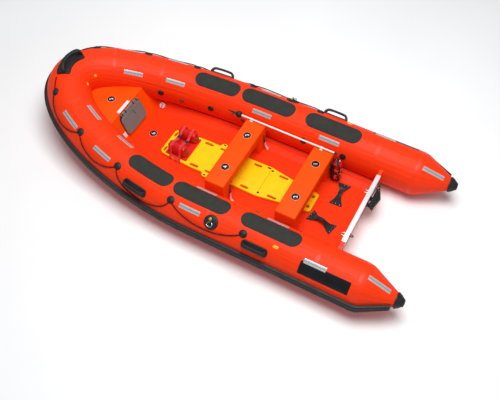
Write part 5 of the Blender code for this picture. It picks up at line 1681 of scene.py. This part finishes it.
# Latches and pins at the fold, and small plugs where the halves lock: station, y, half-length, half-width,
# height
LATCHES_AT_FOLD = ((1.128, -0.186, 0.022, 0.008, 0.008), (1.078, -0.166, 0.013, 0.011, 0.004),
                   (1.088, 0.166, 0.013, 0.011, 0.004), (1.722, -0.236, 0.016, 0.007, 0.007),
                   (1.722, 0.236, 0.016, 0.007, 0.007), (1.640, 0.205, 0.014, 0.006, 0.007))
for number, (station, y, half_length, half_width, height) in enumerate(LATCHES_AT_FOLD):
    latch = soft_plate(half_length, half_width, half_width * 0.8, height, 0.003, spacing=0.004)
    add_piece(f"board_latch_{number}", latch, moulded_black, moved(sta(station), y, board_top))
# Moulded stiffening ribs, low and rounded, run along each half between the slots.


def rib(part):
    """The section of a moulded rib, which runs out flat at both ends."""
    near = min(part, 1 - part)
    return [(x * min(1.0, 0.25 + 14 * near), z * min(1.0, 30 * near))
            for x, z in ((-0.010, 0.0), (-0.0085, 0.0016), (-0.005, 0.0028), (0.0, 0.0032), (0.005, 0.0028),
                         (0.0085, 0.0016), (0.010, 0.0), (0.0, -0.001))]


for number, (first, last, y) in enumerate(((0.640, 1.060, 0.070), (0.640, 1.060, -0.070),
                                           (1.150, 1.880, 0.075), (1.150, 1.880, -0.075))):
    line = [Vector((sta(station), y, board_top - 0.0006)) for station in even_steps(first, last, 0.02)]
    add_piece(f"board_rib_{number}", swept(line, rib, Vector((0, 0, 1))), yellow_plastic, crease=50.0)

# Head immobiliser: two foam blocks and a base pad in red coated fabric, with a pile mat on the board.
# Webbing straps with a plastic buckle hold them, and each block has an ear hole in its end.
coated_red = weathered("red_coated_fabric", "red_foam", (0.62, 0.004, 0.006), 0.45, shine=0.4, cloud=12.0,
                       change=0.16, grain=1400.0, depth=0.0003, gloss=0.08,
                       extra=fine_relief(0.0035, 26.0, 3.0))
pile_red = weathered("red_pile_fabric", "red_foam", (0.80, 0.006, 0.004), 0.90, shine=0.2, sheen=0.3,
                     cloud=20.0, change=0.15, grain=2000.0, depth=0.0006, gloss=0.05,
                     extra=fine_relief(0.0030, 900.0, 4.0, 0.8))


# Edge of a cell of the blocks' cover, and the number of steps in which it is blown up
CLOTH_CELL = 0.005
CLOTH_STEPS = 20


def padded_block(name, low, high, corner, pressure, cap, finish, taper=0.0):
    """A stuffed block: a rounded body, blown up by cloth simulation where time allows, then smoothed."""
    bm = bmesh.new()
    bmesh.ops.create_cube(bm, size=1.0)
    low, high = Vector(low), Vector(high)
    middle, size = (low + high) / 2, high - low
    for vert in bm.verts:
        lean = 1.0 - taper * (0.5 + vert.co.z)
        vert.co = Vector((vert.co.x * size.x * lean, vert.co.y * size.y * lean,
                          vert.co.z * size.z)) + middle
    bmesh.ops.bevel(bm, geom=bm.edges, offset=corner, segments=4, affect="EDGES", profile=0.5)
    mesh = bpy.data.meshes.new(name)
    bmesh.ops.recalc_face_normals(bm, faces=bm.faces)
    bm.to_mesh(mesh)
    bm.free()
    block = shown(name + "_raw", mesh)
    remesh = block.modifiers.new("voxels", "REMESH")
    remesh.mode, remesh.voxel_size = "VOXEL", CLOTH_CELL
    fine = plain_mesh(block)
    block.modifiers.remove(remesh)
    block.data = fine
    start = [vert.co.copy() for vert in fine.vertices]
    held = block.vertex_groups.new(name="held")
    held.add([number for number, place in enumerate(start) if place.z < low.z + CLOTH_CELL * 1.2], 1.0,
             "REPLACE")
    cloth = block.modifiers.new("cloth", "CLOTH")
    cloth.settings.use_pressure = True
    cloth.settings.uniform_pressure_force = pressure
    cloth.settings.vertex_group_mass = "held"
    cloth.settings.effector_weights.gravity = 0.0
    cloth.point_cache.frame_start, cloth.point_cache.frame_end = 1, CLOTH_STEPS
    for frame_number in range(1, CLOTH_STEPS + 1):
        bpy.context.scene.frame_set(frame_number)
    blown = plain_mesh(block)
    block.modifiers.remove(cloth)
    bpy.context.scene.frame_set(1)
    for vert, place in zip(blown.vertices, start):
        move = vert.co - place
        if move.length > cap:
            move *= cap / move.length
        vert.co = place + move
        vert.co.z = max(vert.co.z, low.z)
    block.data = blown
    smooth = block.modifiers.new("smooth", "SUBSURF")
    smooth.levels = smooth.render_levels = 1
    result = plain_mesh(block)
    bpy.data.objects.remove(block, do_unlink=True)
    for vert in result.vertices:
        vert.co.z = max(vert.co.z, low.z)
    add_piece(name, result, finish, crease=80.0)


olive_foam = weathered("olive_foam", "red_foam", (0.16, 0.10, 0.02), 0.80, cloud=60.0, change=0.2,
                       grain=900.0, depth=0.0006)
block_top = SOLE_Z + STRETCHER_THICKNESS + 2 * GAP
padded_block("head_pad", (sta(1.990), -0.174, block_top), (sta(2.263), 0.174, block_top + 0.022), 0.008,
             2.0, 0.004, pile_red)
for side_name, side in SIDES:
    low_y, high_y = sorted((side * 0.062, side * 0.160))
    padded_block("head_block_" + side_name, (sta(2.006), low_y, block_top + 0.027),
                 (sta(2.242), high_y, block_top + 0.154), 0.024, 4.0, 0.008, coated_red, taper=0.08)
    ear = turned(((0.004, 0.0), (0.004, 0.016), (0.0055, 0.019), (0.006, 0.023), (0.003, 0.026),
                  (-0.006, 0.026), (-0.006, 0.0)), 32)
    stand = moved(sta(2.002), side * 0.110, block_top + 0.088) @ turned_by(-96, "Y")
    add_piece("ear_hole_" + side_name, ear, olive_foam, stand)


def webbing(name, rows, half_width, thickness, finish, across):
    """A flat strap through points, with a map of its length and width for its weave."""
    points = [Vector(row) for row in drawn(rows, 6)]
    outs = []
    for number, point in enumerate(points):
        along = (points[min(number + 1, len(points) - 1)] - points[max(number - 1, 0)]).normalized()
        outs.append(Vector(across).cross(along).normalized())
    edge = thickness * 0.35
    under = [(-half_width, -thickness / 2 + edge), (-half_width + edge, -thickness / 2),
             (half_width - edge, -thickness / 2), (half_width, -thickness / 2 + edge)]
    section = under + [(across_strap, -up) for across_strap, up in reversed(under)]
    piece = add_piece(name, swept(points, section, outs), finish, crease=60.0)
    runs, total = [], 0.0
    for number, point in enumerate(points):
        total += (point - points[number - 1]).length if number else 0.0
        runs.append(total)
    layer = piece.data.uv_layers.new(name="weave")
    for loop in piece.data.loops:
        place = piece.data.vertices[loop.vertex_index].co
        number = min(loop.vertex_index // len(section), len(points) - 1)
        inside = loop.vertex_index < len(points) * len(section)
        corner = section[loop.vertex_index % len(section)] if inside else (0.0, 0.0)
        layer.data[loop.index].uv = (runs[number], corner[0])


def woven(name, colour):
    """Woven webbing: slanted yarns along its own map, with a raised selvedge."""
    def yarns(tree, place):
        weave = add_node(tree, "ShaderNodeUVMap", uv_map="weave").outputs["UV"]
        twill = add_node(tree, "ShaderNodeTexWave",
                         {"Vector": stretched(tree, weave, (420.0, 900.0, 1.0)), "Scale": 1.0,
                          "Distortion": 0.6}, wave_type="BANDS", bands_direction="DIAGONAL")
        return twill.outputs["Fac"], 0.0006
    return weathered(name, "webbing", colour, 0.70, shine=0.3, sheen=0.2, cloud=25.0, change=0.18,
                     grain=1500.0, depth=0.0003, gloss=0.06, extra=yarns)


red_webbing = woven("red_webbing", (0.78, 0.030, 0.035))
top = block_top + 0.160
for number, station in enumerate((2.068, 2.180)):
    rows = [(sta(station), y, z) for y, z in ((-0.206, board_top - 0.012), (-0.203, board_top + 0.006),
                                              (-0.186, board_top + 0.036), (-0.172, board_top + 0.085),
                                              (-0.158, top - 0.006), (-0.110, top + 0.004),
                                              (-0.060, top - 0.006), (-0.026, top - 0.030),
                                              (0.026, top - 0.032), (0.060, top - 0.006),
                                              (0.110, top + 0.004), (0.158, top - 0.006),
                                              (0.172, board_top + 0.085), (0.186, board_top + 0.036),
                                              (0.203, board_top + 0.006), (0.206, board_top - 0.012))]
    webbing(f"block_strap_{number}", rows, 0.0150, 0.0018, red_webbing, (-1.0, 0.0, 0.0))
for number, (station, y) in enumerate(((2.068, 0.024), (2.180, -0.018))):
    buckle = soft_plate(0.020, 0.024, 0.006, 0.007, 0.003, spacing=0.006,
                        relief=lambda along, across: -0.003 * math.exp(-(along / 0.005) ** 2))
    add_piece(f"strap_buckle_{number}", buckle, moulded_black, moved(sta(station), y, top - 0.0295))
for number, (first, last) in enumerate((((2.235, -0.155), (2.060, -0.205)),
                                        ((2.250, 0.140), (2.090, 0.200)))):
    rows = [(sta(first[0]), first[1], board_top + 0.002),
            (sta((first[0] + last[0]) / 2 + 0.01), (first[1] + last[1]) / 2, board_top + 0.020),
            (sta(last[0]), last[1], board_top + 0.002),
            (sta(last[0] - 0.02), last[1] * 1.12, SOLE_Z + 0.003)]
    webbing(f"loose_strap_{number}", rows, 0.0125, 0.0018, red_webbing, (0.6, 0.8, 0.0))

# Foot straps: two bow-shaped straps of black coated webbing on the aft sole, to brace the feet in. Each is
# pleated and bound at its middle, where it stands up, and its wide ends are screwed down through a plastic
# bar.
STRAP_PROFILE = ((-0.150, 0.0040, 0.0740), (-0.100, 0.0045, 0.0560), (-0.085, 0.0115, 0.0440),
                 (-0.045, 0.0450, 0.0250), (-0.020, 0.0550, 0.0165), (0.0, 0.0560, 0.0145),
                 (0.020, 0.0550, 0.0165), (0.045, 0.0450, 0.0250), (0.085, 0.0115, 0.0440),
                 (0.100, 0.0045, 0.0560), (0.150, 0.0040, 0.0740))
# Side, middle, turn in degrees
FOOT_STRAPS = (("port", (0.330, 0.165), -13.0), ("starboard", (0.302, -0.256), 93.0))
STRAP_SHEET = 0.0022
PLEATS = 5
black_webbing = woven("black_webbing", (0.014, 0.014, 0.015))


def pleated(profile):
    """A strap over a profile of distance, height and half-width, gathered into pleats where it is narrow."""
    rows = drawn(profile, 7)
    points = [Vector((along, 0.0, height)) for along, height, half in rows]

    def section(part):
        half = rows[round(part * (len(rows) - 1))][2]
        fold = 0.0085 * max(0.0, 1 - half / 0.070) + 0.0006
        top, under = [], []
        for step in range(29):
            place = -1 + step / 14
            rise = fold * math.cos(PLEATS * math.pi * place)
            top.append((half * place, rise + STRAP_SHEET / 2))
            under.append((half * place, rise - STRAP_SHEET / 2))
        return top + under[::-1]

    return swept(points, section, Vector((0.0, 0.0, 1.0)))


for side_name, (station, y), turn in FOOT_STRAPS:
    name = "foot_strap_" + side_name
    stand = moved(sta(station), y, SOLE_Z + GAP) @ turned_by(turn, "Z")
    strap = add_piece(name, pleated(STRAP_PROFILE), black_webbing, crease=70.0)
    weave = strap.data.uv_layers.new(name="weave")
    for loop in strap.data.loops:
        weave.data[loop.index].uv = strap.data.vertices[loop.vertex_index].co.xy
    strap.data.transform(stand)
    ring = [Vector((0.0, 0.0205 * math.cos(angle), 0.0560 + 0.0130 * math.sin(angle)))
            for angle in turns(32)]
    ways = [Vector((0.0, math.cos(angle) * 0.5, math.sin(angle))).normalized() for angle in turns(32)]
    binding = swept(ring, [(-0.0250, -0.0010), (0.0250, -0.0010), (0.0262, 0.0004), (0.0250, 0.0020),
                           (0.0, 0.0034), (-0.0250, 0.0020), (-0.0262, 0.0004)], ways, closed=True)
    add_piece(name + "_binding", binding, black_webbing, stand, crease=60.0)
    for end_name, end in (("aft", -1), ("forward", 1)):
        bar = soft_plate(0.0075, 0.062, 0.006, 0.0030, 0.0012, spacing=0.006)
        at = stand @ moved(end * 0.134, 0.0, 0.0068)
        add_piece(f"{name}_bar_{end_name}", bar, moulded_black, at)
        heads = [at @ Vector((0.0, across, 0.0030)) for across in (-0.045, 0.0, 0.045)]
        screws(f"{name}_screws_{end_name}", heads, (0.0, 0.0, 0.0), 0.0034)

# Fire extinguisher: a small red steel bottle behind the aft thwart, in a black channel bracket with a band
# round it. Black plastic valve head with lever, pin and gauge, and a short hose clipped to the bottle's
# side.
BOTTLE_X, BOTTLE_Y, BOTTLE_FOOT = sta(0.437), -0.430, SOLE_Z + 0.038
BOTTLE_RADIUS = 0.054
BOTTLE_PROFILE = ((0.268, 0.0), (0.268, 0.0165), (0.262, 0.0195), (0.256, 0.0320), (0.249, 0.0420),
                  (0.240, 0.0485), (0.228, 0.0525), (0.215, 0.0540), (0.014, 0.0540), (0.006, 0.0520),
                  (0.001, 0.0460), (0.0, 0.0380), (0.0, 0.0))
# The finish of the moulded fittings on the extinguisher and the boathook
black_fitting = (moulded_black[0], "hatch_trim")
red_paint = weathered("red_bottle_paint", "red_paint", (0.58, 0.003, 0.006), 0.22, coat=0.5, shine=0.4,
                      cloud=9.0, change=0.12, grain=700.0, depth=0.0001, gloss=0.08, extra=orange_peel)
white_band = weathered("white_print", "white_plastic", (0.80, 0.76, 0.74), 0.40, cloud=15.0, change=0.08,
                       grain=400.0, depth=0.0001)
stand = moved(BOTTLE_X, BOTTLE_Y, BOTTLE_FOOT)
add_piece("extinguisher_bottle", turned(BOTTLE_PROFILE, 64), red_paint, stand, crease=50.0)
for name, low, high, lift, finish, replaced in (
        ("extinguisher_boot", 0.0002, 0.020, 0.0014, black_rubber, None),
        ("extinguisher_ring", 0.168, 0.175, 0.0003, white_band, None),
        ("extinguisher_band", 0.100, 0.135, 0.0016, black_fitting, ["extinguisher_bracket"])):
    ring = [(high, BOTTLE_RADIUS - 0.002), (high, BOTTLE_RADIUS + lift * 0.7),
            (high - lift * 0.4, BOTTLE_RADIUS + lift), (low + lift * 0.4, BOTTLE_RADIUS + lift),
            (low, BOTTLE_RADIUS + lift * 0.7), (low, BOTTLE_RADIUS - 0.002)]
    rings = [[Vector((radius * math.cos(turn), radius * math.sin(turn), height)) for height, radius in ring]
             for turn in turns(72)]
    add_piece(name, hoop(rings), finish, stand, replaced=replaced)


# Steps in a bent plate, and the radius of its corners
PLATE_STEPS = 28
PLATE_CORNER = 0.010


def curved_plate(first, last, low, high, radius, sheet):
    """A plate bent round a bottle between two angles in degrees, its corners cut round."""
    rings = []
    for step in range(PLATE_STEPS + 1):
        part = step / PLATE_STEPS
        turn = math.radians(first + (last - first) * part)
        near = min(part, 1 - part) * abs(math.radians(last - first)) * radius
        cut = max(0.0, PLATE_CORNER - near)
        drop = PLATE_CORNER - math.sqrt(max(0.0, PLATE_CORNER ** 2 - cut ** 2))
        rings.append([Vector((reach * math.cos(turn), reach * math.sin(turn), height))
                      for reach, height in ((radius, low + drop), (radius + sheet, low + drop),
                                            (radius + sheet, high - drop), (radius, high - drop))])
    return lofted(rings)


add_piece("extinguisher_channel", curved_plate(-75, 75, -0.0002, 0.245, BOTTLE_RADIUS + 0.0018, 0.0050),
          black_fitting, stand)
add_piece("extinguisher_label", curved_plate(95, 190, 0.032, 0.092, BOTTLE_RADIUS + 0.0001, 0.0003),
          white_band, stand)
add_piece("extinguisher_label_field", curved_plate(98, 187, 0.0345, 0.0895, BOTTLE_RADIUS + 0.0002, 0.0004),
          red_paint, stand)
back = extruded([(BOTTLE_X + BOTTLE_RADIUS + 0.004, BOTTLE_FOOT + 0.090),
                 (sta(0.508) - GAP, BOTTLE_FOOT + 0.090), (sta(0.508) - GAP, BOTTLE_FOOT + 0.150),
                 (BOTTLE_X + BOTTLE_RADIUS + 0.004, BOTTLE_FOOT + 0.150)], BOTTLE_Y - 0.032,
                BOTTLE_Y + 0.032, 0.003)
add_piece("extinguisher_back", back, black_fitting)
clasp = soft_plate(0.012, 0.016, 0.004, 0.007, 0.0025, spacing=0.004,
                   relief=lambda along, across: -0.002 * math.exp(-(along / 0.004) ** 2))
turn_out = turned_by(140, "Z") @ moved(BOTTLE_RADIUS + 0.0012, 0.0, 0.1175)
turn_out = turn_out @ turned_by(90, "Y")
add_piece("extinguisher_clasp", clasp, stainless, stand @ turn_out)
head = turned(((0.0330, 0.0), (0.0330, 0.0080), (0.0310, 0.0110), (0.0240, 0.0120), (0.0220, 0.0150),
               (0.0060, 0.0155), (0.0050, 0.0175), (0.0002, 0.0175), (0.0002, 0.0)), 40)
head_stand = moved(BOTTLE_X, BOTTLE_Y, BOTTLE_FOOT + GAP + 0.268)
add_piece("extinguisher_head", head, black_fitting, head_stand)
LEVERS = (("extinguisher_lever", 0.0090, 0.0022,
           ((-0.012, 0.030), (0.020, 0.038), (0.055, 0.036), (0.084, 0.028))),
          ("extinguisher_grip", 0.0080, 0.0030,
           ((-0.008, 0.016), (0.020, 0.018), (0.050, 0.014), (0.074, 0.006))))
for name, half_width, depth, rows in LEVERS:
    line = [Vector((0.0, y, z)) for y, z in drawn(rows, 6)]
    lever = swept(line, squared_section(half_width, depth, 0.5, 20), Vector((0.0, 0.0, 1.0)))
    add_piece(name, lever, black_fitting, head_stand, crease=60.0)
pin_ring = ring_points(Vector((0.011, 0.010, 0.026)), Vector((0.0, 0.0, 1.0)),
                       Vector((1.0, 0.3, 0.0)).normalized(), 0.011, 0.010, 28)
add_piece("extinguisher_pin", swept(pin_ring, round_section(0.0012, 8), Vector((0.3, -1.0, 0.0)),
                                    closed=True), stainless, head_stand)
gauge = turned(((0.0050, 0.0), (0.0050, 0.0085), (0.0062, 0.0095), (0.0062, 0.0110), (-0.002, 0.0110),
                (-0.002, 0.0)), 32)
add_piece("extinguisher_gauge", gauge, white_band, head_stand @ moved(-0.014, 0.0, 0.016)
          @ turned_by(-90, "Y"))
hose = [Vector(row) for row in drawn(((-0.004, 0.014, 0.280), (-0.012, 0.036, 0.284),
                                      (-0.030, 0.052, 0.262), (-0.044, 0.052, 0.215),
                                      (-0.0433, 0.0455, 0.160), (-0.0433, 0.0455, 0.100),
                                      (-0.0433, 0.0455, 0.062)), 8)]
tube = swept(hose, round_section(0.0062, 14), Vector((0.7, 0.7, 0.3)))
add_piece("extinguisher_hose", tube, black_rubber, stand, crease=60.0)
horn = turned(((0.0, 0.0), (0.0, 0.0066), (-0.010, 0.0080), (-0.042, 0.0115), (-0.046, 0.0118),
               (-0.046, 0.0100), (-0.020, 0.0050), (-0.020, 0.0)), 28)
add_piece("extinguisher_nozzle", horn, black_fitting, stand @ moved(-0.0470, 0.0493, 0.066))

# Boathook: a white glass-fibre shaft stowed along the starboard ends of the thwarts in two plastic clips.
# It has a black ball collar and a cast head with a point and a hook at its forward end, and a black butt at
# the other.
SHAFT_Y, SHAFT_Z = -0.462, 0.4303
SHAFT_RADIUS = 0.0098
SHAFT_AFT, SHAFT_FORWARD = 0.475, 1.660
white_fibre = weathered("white_glass_fibre", "white_plastic", (0.80, 0.80, 0.78), 0.38, coat=0.2,
                        cloud=12.0, change=0.06, grain=500.0, depth=0.0001, gloss=0.08, extra=scuffs)
aft_end, forward_end = [moved(sta(station), 0, 0) @ moved(0.0, SHAFT_Y, SHAFT_Z) @ turned_by(90, "Y")
                        for station in (SHAFT_AFT, SHAFT_FORWARD)]
length = SHAFT_FORWARD - SHAFT_AFT
shaft = turned(((length, 0.0), (length, SHAFT_RADIUS - 0.0006), (length - 0.0006, SHAFT_RADIUS),
                (0.024, SHAFT_RADIUS), (0.023, SHAFT_RADIUS - 0.0008), (0.0, SHAFT_RADIUS - 0.0008),
                (0.0, 0.0)), 32)
add_piece("boathook_shaft", shaft, white_fibre, aft_end)
butt = turned(((0.030, 0.0), (0.030, SHAFT_RADIUS + 0.0012), (0.026, SHAFT_RADIUS + 0.0022),
               (0.004, SHAFT_RADIUS + 0.0022), (0.0, SHAFT_RADIUS), (-0.002, 0.006), (-0.002, 0.0)), 32)
add_piece("boathook_butt", butt, black_rubber, aft_end)
ball = turned(((0.036, 0.0), (0.036, 0.012), (0.033, 0.022), (0.024, 0.031), (0.009, 0.037),
               (-0.007, 0.037), (-0.020, 0.032), (-0.030, 0.022), (-0.034, 0.0115), (-0.034, 0.0)), 40)
add_piece("boathook_ball", ball, black_rubber, forward_end, crease=60.0)
point = turned(((0.1395, 0.0), (0.1390, 0.0035), (0.1350, 0.0062), (0.120, 0.0072), (0.060, 0.0100),
                (0.020, 0.0125), (0.010, 0.0130), (0.010, 0.0)), 28)
add_piece("boathook_head", point, black_fitting, forward_end)
hook = [Vector((sta(SHAFT_FORWARD + reach), SHAFT_Y + side_way, SHAFT_Z - 0.001))
        for reach, side_way in drawn(((0.050, 0.006), (0.066, 0.020), (0.074, 0.033), (0.066, 0.043),
                                      (0.050, 0.044), (0.040, 0.040)), 6)]
add_piece("boathook_hook", swept(hook, lambda part: round_section(0.0075 - 0.0035 * part, 14),
                                 Vector((0.0, 0.0, 1.0))), black_fitting, crease=60.0)
clip_outline = [(-0.021, 0.0), (-0.021, 0.0030), (-0.0135, 0.0040)]
for reach, bends in ((0.0132, range(228, 119, -12)), (0.0102, range(120, 421, 12)),
                     (0.0132, range(60, -49, -12))):
    clip_outline += [(reach * math.cos(math.radians(bend)), 0.018 + reach * math.sin(math.radians(bend)))
                     for bend in bends]
clip_outline += [(0.0135, 0.0040), (0.021, 0.0030), (0.021, 0.0)]
for name, station in (("boathook_clip_aft", 0.655), ("boathook_clip_forward", 1.500)):
    rows = [(SHAFT_Y + across, THWART_TOP + GAP + up) for across, up in clip_outline]
    clip = extruded(rows, sta(station - 0.016), sta(station + 0.016), 0.0, axis="x")
    add_piece(name, clip, (white_fibre[0], "hatch_trim"), crease=35.0)

# Lifting eyes: two on the liner beside the locker and two on the transom's inner face. Each is a dished
# white backing cup, bolted through, round a stainless U-bolt that the boat is lifted by.
EYE_CUP = ((0.0060, 0.0), (0.0060, 0.0200), (0.0085, 0.0240), (0.0100, 0.0275), (0.0100, 0.0305),
           (0.0085, 0.0335), (0.0030, 0.0345), (0.0003, 0.0345), (0.0003, 0.0))
EYE_HALF_WIDTH, EYE_HEIGHT, EYE_WIRE = 0.017, 0.049, 0.0055
white_moulding = weathered("white_moulding", "white_plastic", (0.80, 0.79, 0.76), 0.38, coat=0.1,
                           cloud=20.0, change=0.07, grain=700.0, depth=0.0002, gloss=0.08)


def u_bolt(half_width, height, wire):
    """A bow of round bar from below its plate, up and over."""
    line = [Vector((-half_width, 0.0, -0.002)), Vector((-half_width, 0.0, height - half_width - 0.010))]
    line += [Vector((-half_width * math.cos(turn), 0.0, height - half_width + half_width * math.sin(turn)))
             for turn in (math.pi * step / 20 for step in range(21))]
    line += [Vector((half_width, 0.0, height - half_width - 0.010)), Vector((half_width, 0.0, -0.002))]
    return swept(line, round_section(wire, 16), Vector((0.0, 1.0, 0.0)))


EYES = []
for side_name, side in SIDES:
    facing = Vector((-0.1645, -0.6547 * side, 0.7377)).to_track_quat("Z", "X").to_matrix().to_4x4()
    bow = moved(1.1545, 0.408 * side, 0.104) @ facing
    stern = leaning @ moved(sta(TRANSOM_THICKNESS), side * 0.300, 0.235)
    stern = stern @ axes((0, 1, 0), (0, 0, 1), (1, 0, 0))
    EYES += [("lifting_eye_bow_" + side_name, bow), ("lifting_eye_stern_" + side_name, stern)]
for name, stand in EYES:
    add_piece(name, turned(EYE_CUP, 48), white_moulding, stand)
    add_piece(name + "_bolt", u_bolt(EYE_HALF_WIDTH, EYE_HEIGHT - EYE_WIRE, EYE_WIRE), stainless, stand,
              crease=60.0)
    for number, across in enumerate((-EYE_HALF_WIDTH, EYE_HALF_WIDTH)):
        washer = turned(((0.0080, 0.0), (0.0080, 0.0085), (0.0072, 0.0092), (0.0055, 0.0092),
                         (0.0055, 0.0)), 24)
        add_piece(f"{name}_washer_{number}", washer, stainless, stand @ moved(across, 0, 0))

# Boarding step: a black glass-filled nylon grating on two arms, bolted to the cap's aft flange. The stern
# eye beside it takes a lashing.
STEP_OUTLINE = ((-0.034, -0.130), (-0.104, -0.088), (-0.134, -0.255), (-0.058, -0.425), (-0.040, -0.345),
                (-0.034, -0.225))
STEP_Z = 0.258
STEP_THICKNESS = 0.030
STEP_RIM = 0.0085
GRATE_PITCH = 0.0185
GRATE_HOLE = 0.0066
nylon = weathered("glass_filled_nylon", "black_rubber", (0.013, 0.013, 0.014), 0.60, shine=0.35, cloud=30.0,
                  change=0.3, grain=1200.0, depth=0.0005, gloss=0.10, extra=leather_grain)


def inside_by(outline, x, y):
    """Least distance of a place from the edges of an outline, negative where it lies outside."""
    crossings, nearest = 0, math.inf
    for number, (ax, ay) in enumerate(outline):
        bx, by = outline[(number + 1) % len(outline)]
        across, along = bx - ax, by - ay
        part = max(0.0, min(1.0, ((x - ax) * across + (y - ay) * along) / (across ** 2 + along ** 2)))
        nearest = min(nearest, math.hypot(x - ax - part * across, y - ay - part * along))
        if (ay > y) != (by > y) and x < ax + (y - ay) / along * across:
            crossings += 1
    return nearest if crossings % 2 else -nearest


holes = []
for row in range(-4, 12):
    for column in range(-2, 26):
        x = -0.030 - row * GRATE_PITCH * 0.5
        y = -0.080 - column * GRATE_PITCH - (row % 2) * GRATE_PITCH / 2
        inside = inside_by(STEP_OUTLINE, x, y) > STEP_RIM + GRATE_HOLE
        if inside and not (-0.232 < y < -0.115 and x > -0.052):
            holes.append([(sta(x) + along * GRATE_HOLE, y + across * GRATE_HOLE)
                          for along, across in ((0.92, 0.0), (0.0, 1.0), (-0.92, 0.0), (0.0, -1.0))])
tread = rolled_plate("step_tread", [(sta(x), y) for x, y in STEP_OUTLINE], STEP_THICKNESS, 0.0022, holes)
add_piece("boarding_step", tread, nylon, moved(0, 0, STEP_Z), crease=35.0)
flange_back = sta(-2 * GAP - CAP_SHEET)
for number, y in enumerate((-0.217, -0.130)):
    arm = extruded([(flange_back - 0.058, STEP_Z + 0.011), (flange_back - 0.058, STEP_Z - 0.011),
                    (flange_back - 0.030, STEP_Z - 0.022), (flange_back, STEP_Z - 0.036),
                    (flange_back, STEP_Z + 0.040), (flange_back - 0.014, STEP_Z + 0.030),
                    (flange_back - 0.030, STEP_Z + 0.016)], y - 0.0075, y + 0.0075, 0.002)
    add_piece(f"step_arm_{number}", arm, nylon, leaning)
foot = soft_plate(0.039, 0.0515, 0.010, 0.006, 0.002, spacing=0.008, sink=0.0)
aft_face = axes((0, 0, 1), (0, 1, 0), (-1, 0, 0))
add_piece("step_foot", foot, nylon, leaning @ moved(flange_back, -0.1735, 0.261) @ aft_face)
screws("step_bolts", [leaning @ Vector((flange_back - 0.0060, y, z)) for y in (-0.195, -0.152)
                      for z in (0.234, 0.288)], (0.0, -math.pi / 2, 0.0), 0.0050)
eye_stand = leaning @ moved(flange_back, 0.320, 0.290) @ axes((0, 1, 0), (0, 0, -1), (-1, 0, 0))
eye_plate = soft_plate(0.012, 0.028, 0.010, 0.005, 0.0018, spacing=0.005, sink=0.0)
dark_steel = weathered("blackened_steel", "black_rubber", (0.060, 0.060, 0.063), 0.38, metallic=0.9,
                       cloud=35.0, change=0.25, grain=900.0, depth=0.0003, gloss=0.10)
add_piece("stern_eye", eye_plate, dark_steel, eye_stand)
bow_turn = turned_by(90, "Z")
add_piece("stern_eye_loop", u_bolt(0.016, 0.037, 0.005), dark_steel, eye_stand @ bow_turn, crease=60.0)

# Small soft fittings: blank white labels by the locker, and at each end of the forward thwart a black
# lashing strap with a pale tag, for the stretcher.
label_film = weathered("white_label_film", "white_plastic", (0.80, 0.78, 0.77), 0.40, cloud=25.0,
                       change=0.06, grain=500.0, depth=0.0001)
top_label = soft_plate(0.020, 0.104, 0.003, 0.0006, 0.0003, spacing=0.01)
add_piece("locker_label", top_label, label_film, moved(sta(2.870), 0.035, LOCKER_TOP + 0.0004))
side_label = soft_plate(0.032, 0.034, 0.003, 0.0006, 0.0003, spacing=0.01)
add_piece("face_label", side_label, label_film, face_matrix(0.160) @ moved(-0.222, 0.0, 0.0004))
tag_cloth = weathered("pale_tag_cloth", "white_plastic", (0.74, 0.52, 0.46), 0.80, sheen=0.2, cloud=30.0,
                      change=0.10, grain=1200.0, depth=0.0004)
for number, (y, lean) in enumerate(((0.352, 0.012), (-0.424, -0.010))):
    face = sta(1.329)
    rows = [(face - 0.0030, y, 0.300), (face - 0.0040, y, 0.270), (face - 0.0080, y + lean * 0.4, 0.220),
            (face - 0.0110, y + lean, 0.170), (face - 0.0090, y + lean, 0.150)]
    webbing(f"lashing_strap_{number}", rows, 0.0120, 0.0018, black_webbing, (0.0, 1.0, 0.0))
    rows = [(face - 0.0120, y + lean, 0.185), (face - 0.0150, y + lean * 1.2, 0.150),
            (face - 0.0200, y + lean * 1.8, 0.110), (face - 0.0330, y + lean * 2.2, 0.075),
            (face - 0.0500, y + lean * 2.2, 0.0600)]
    webbing(f"lashing_tag_{number}", rows, 0.0155, 0.0010, tag_cloth, (0.0, 1.0, 0.0))
    buckle = soft_plate(0.014, 0.016, 0.004, 0.006, 0.002, spacing=0.005)
    add_piece(f"lashing_buckle_{number}", buckle, moulded_black, moved(face - 0.0100, y + lean, 0.190)
              @ aft_face)
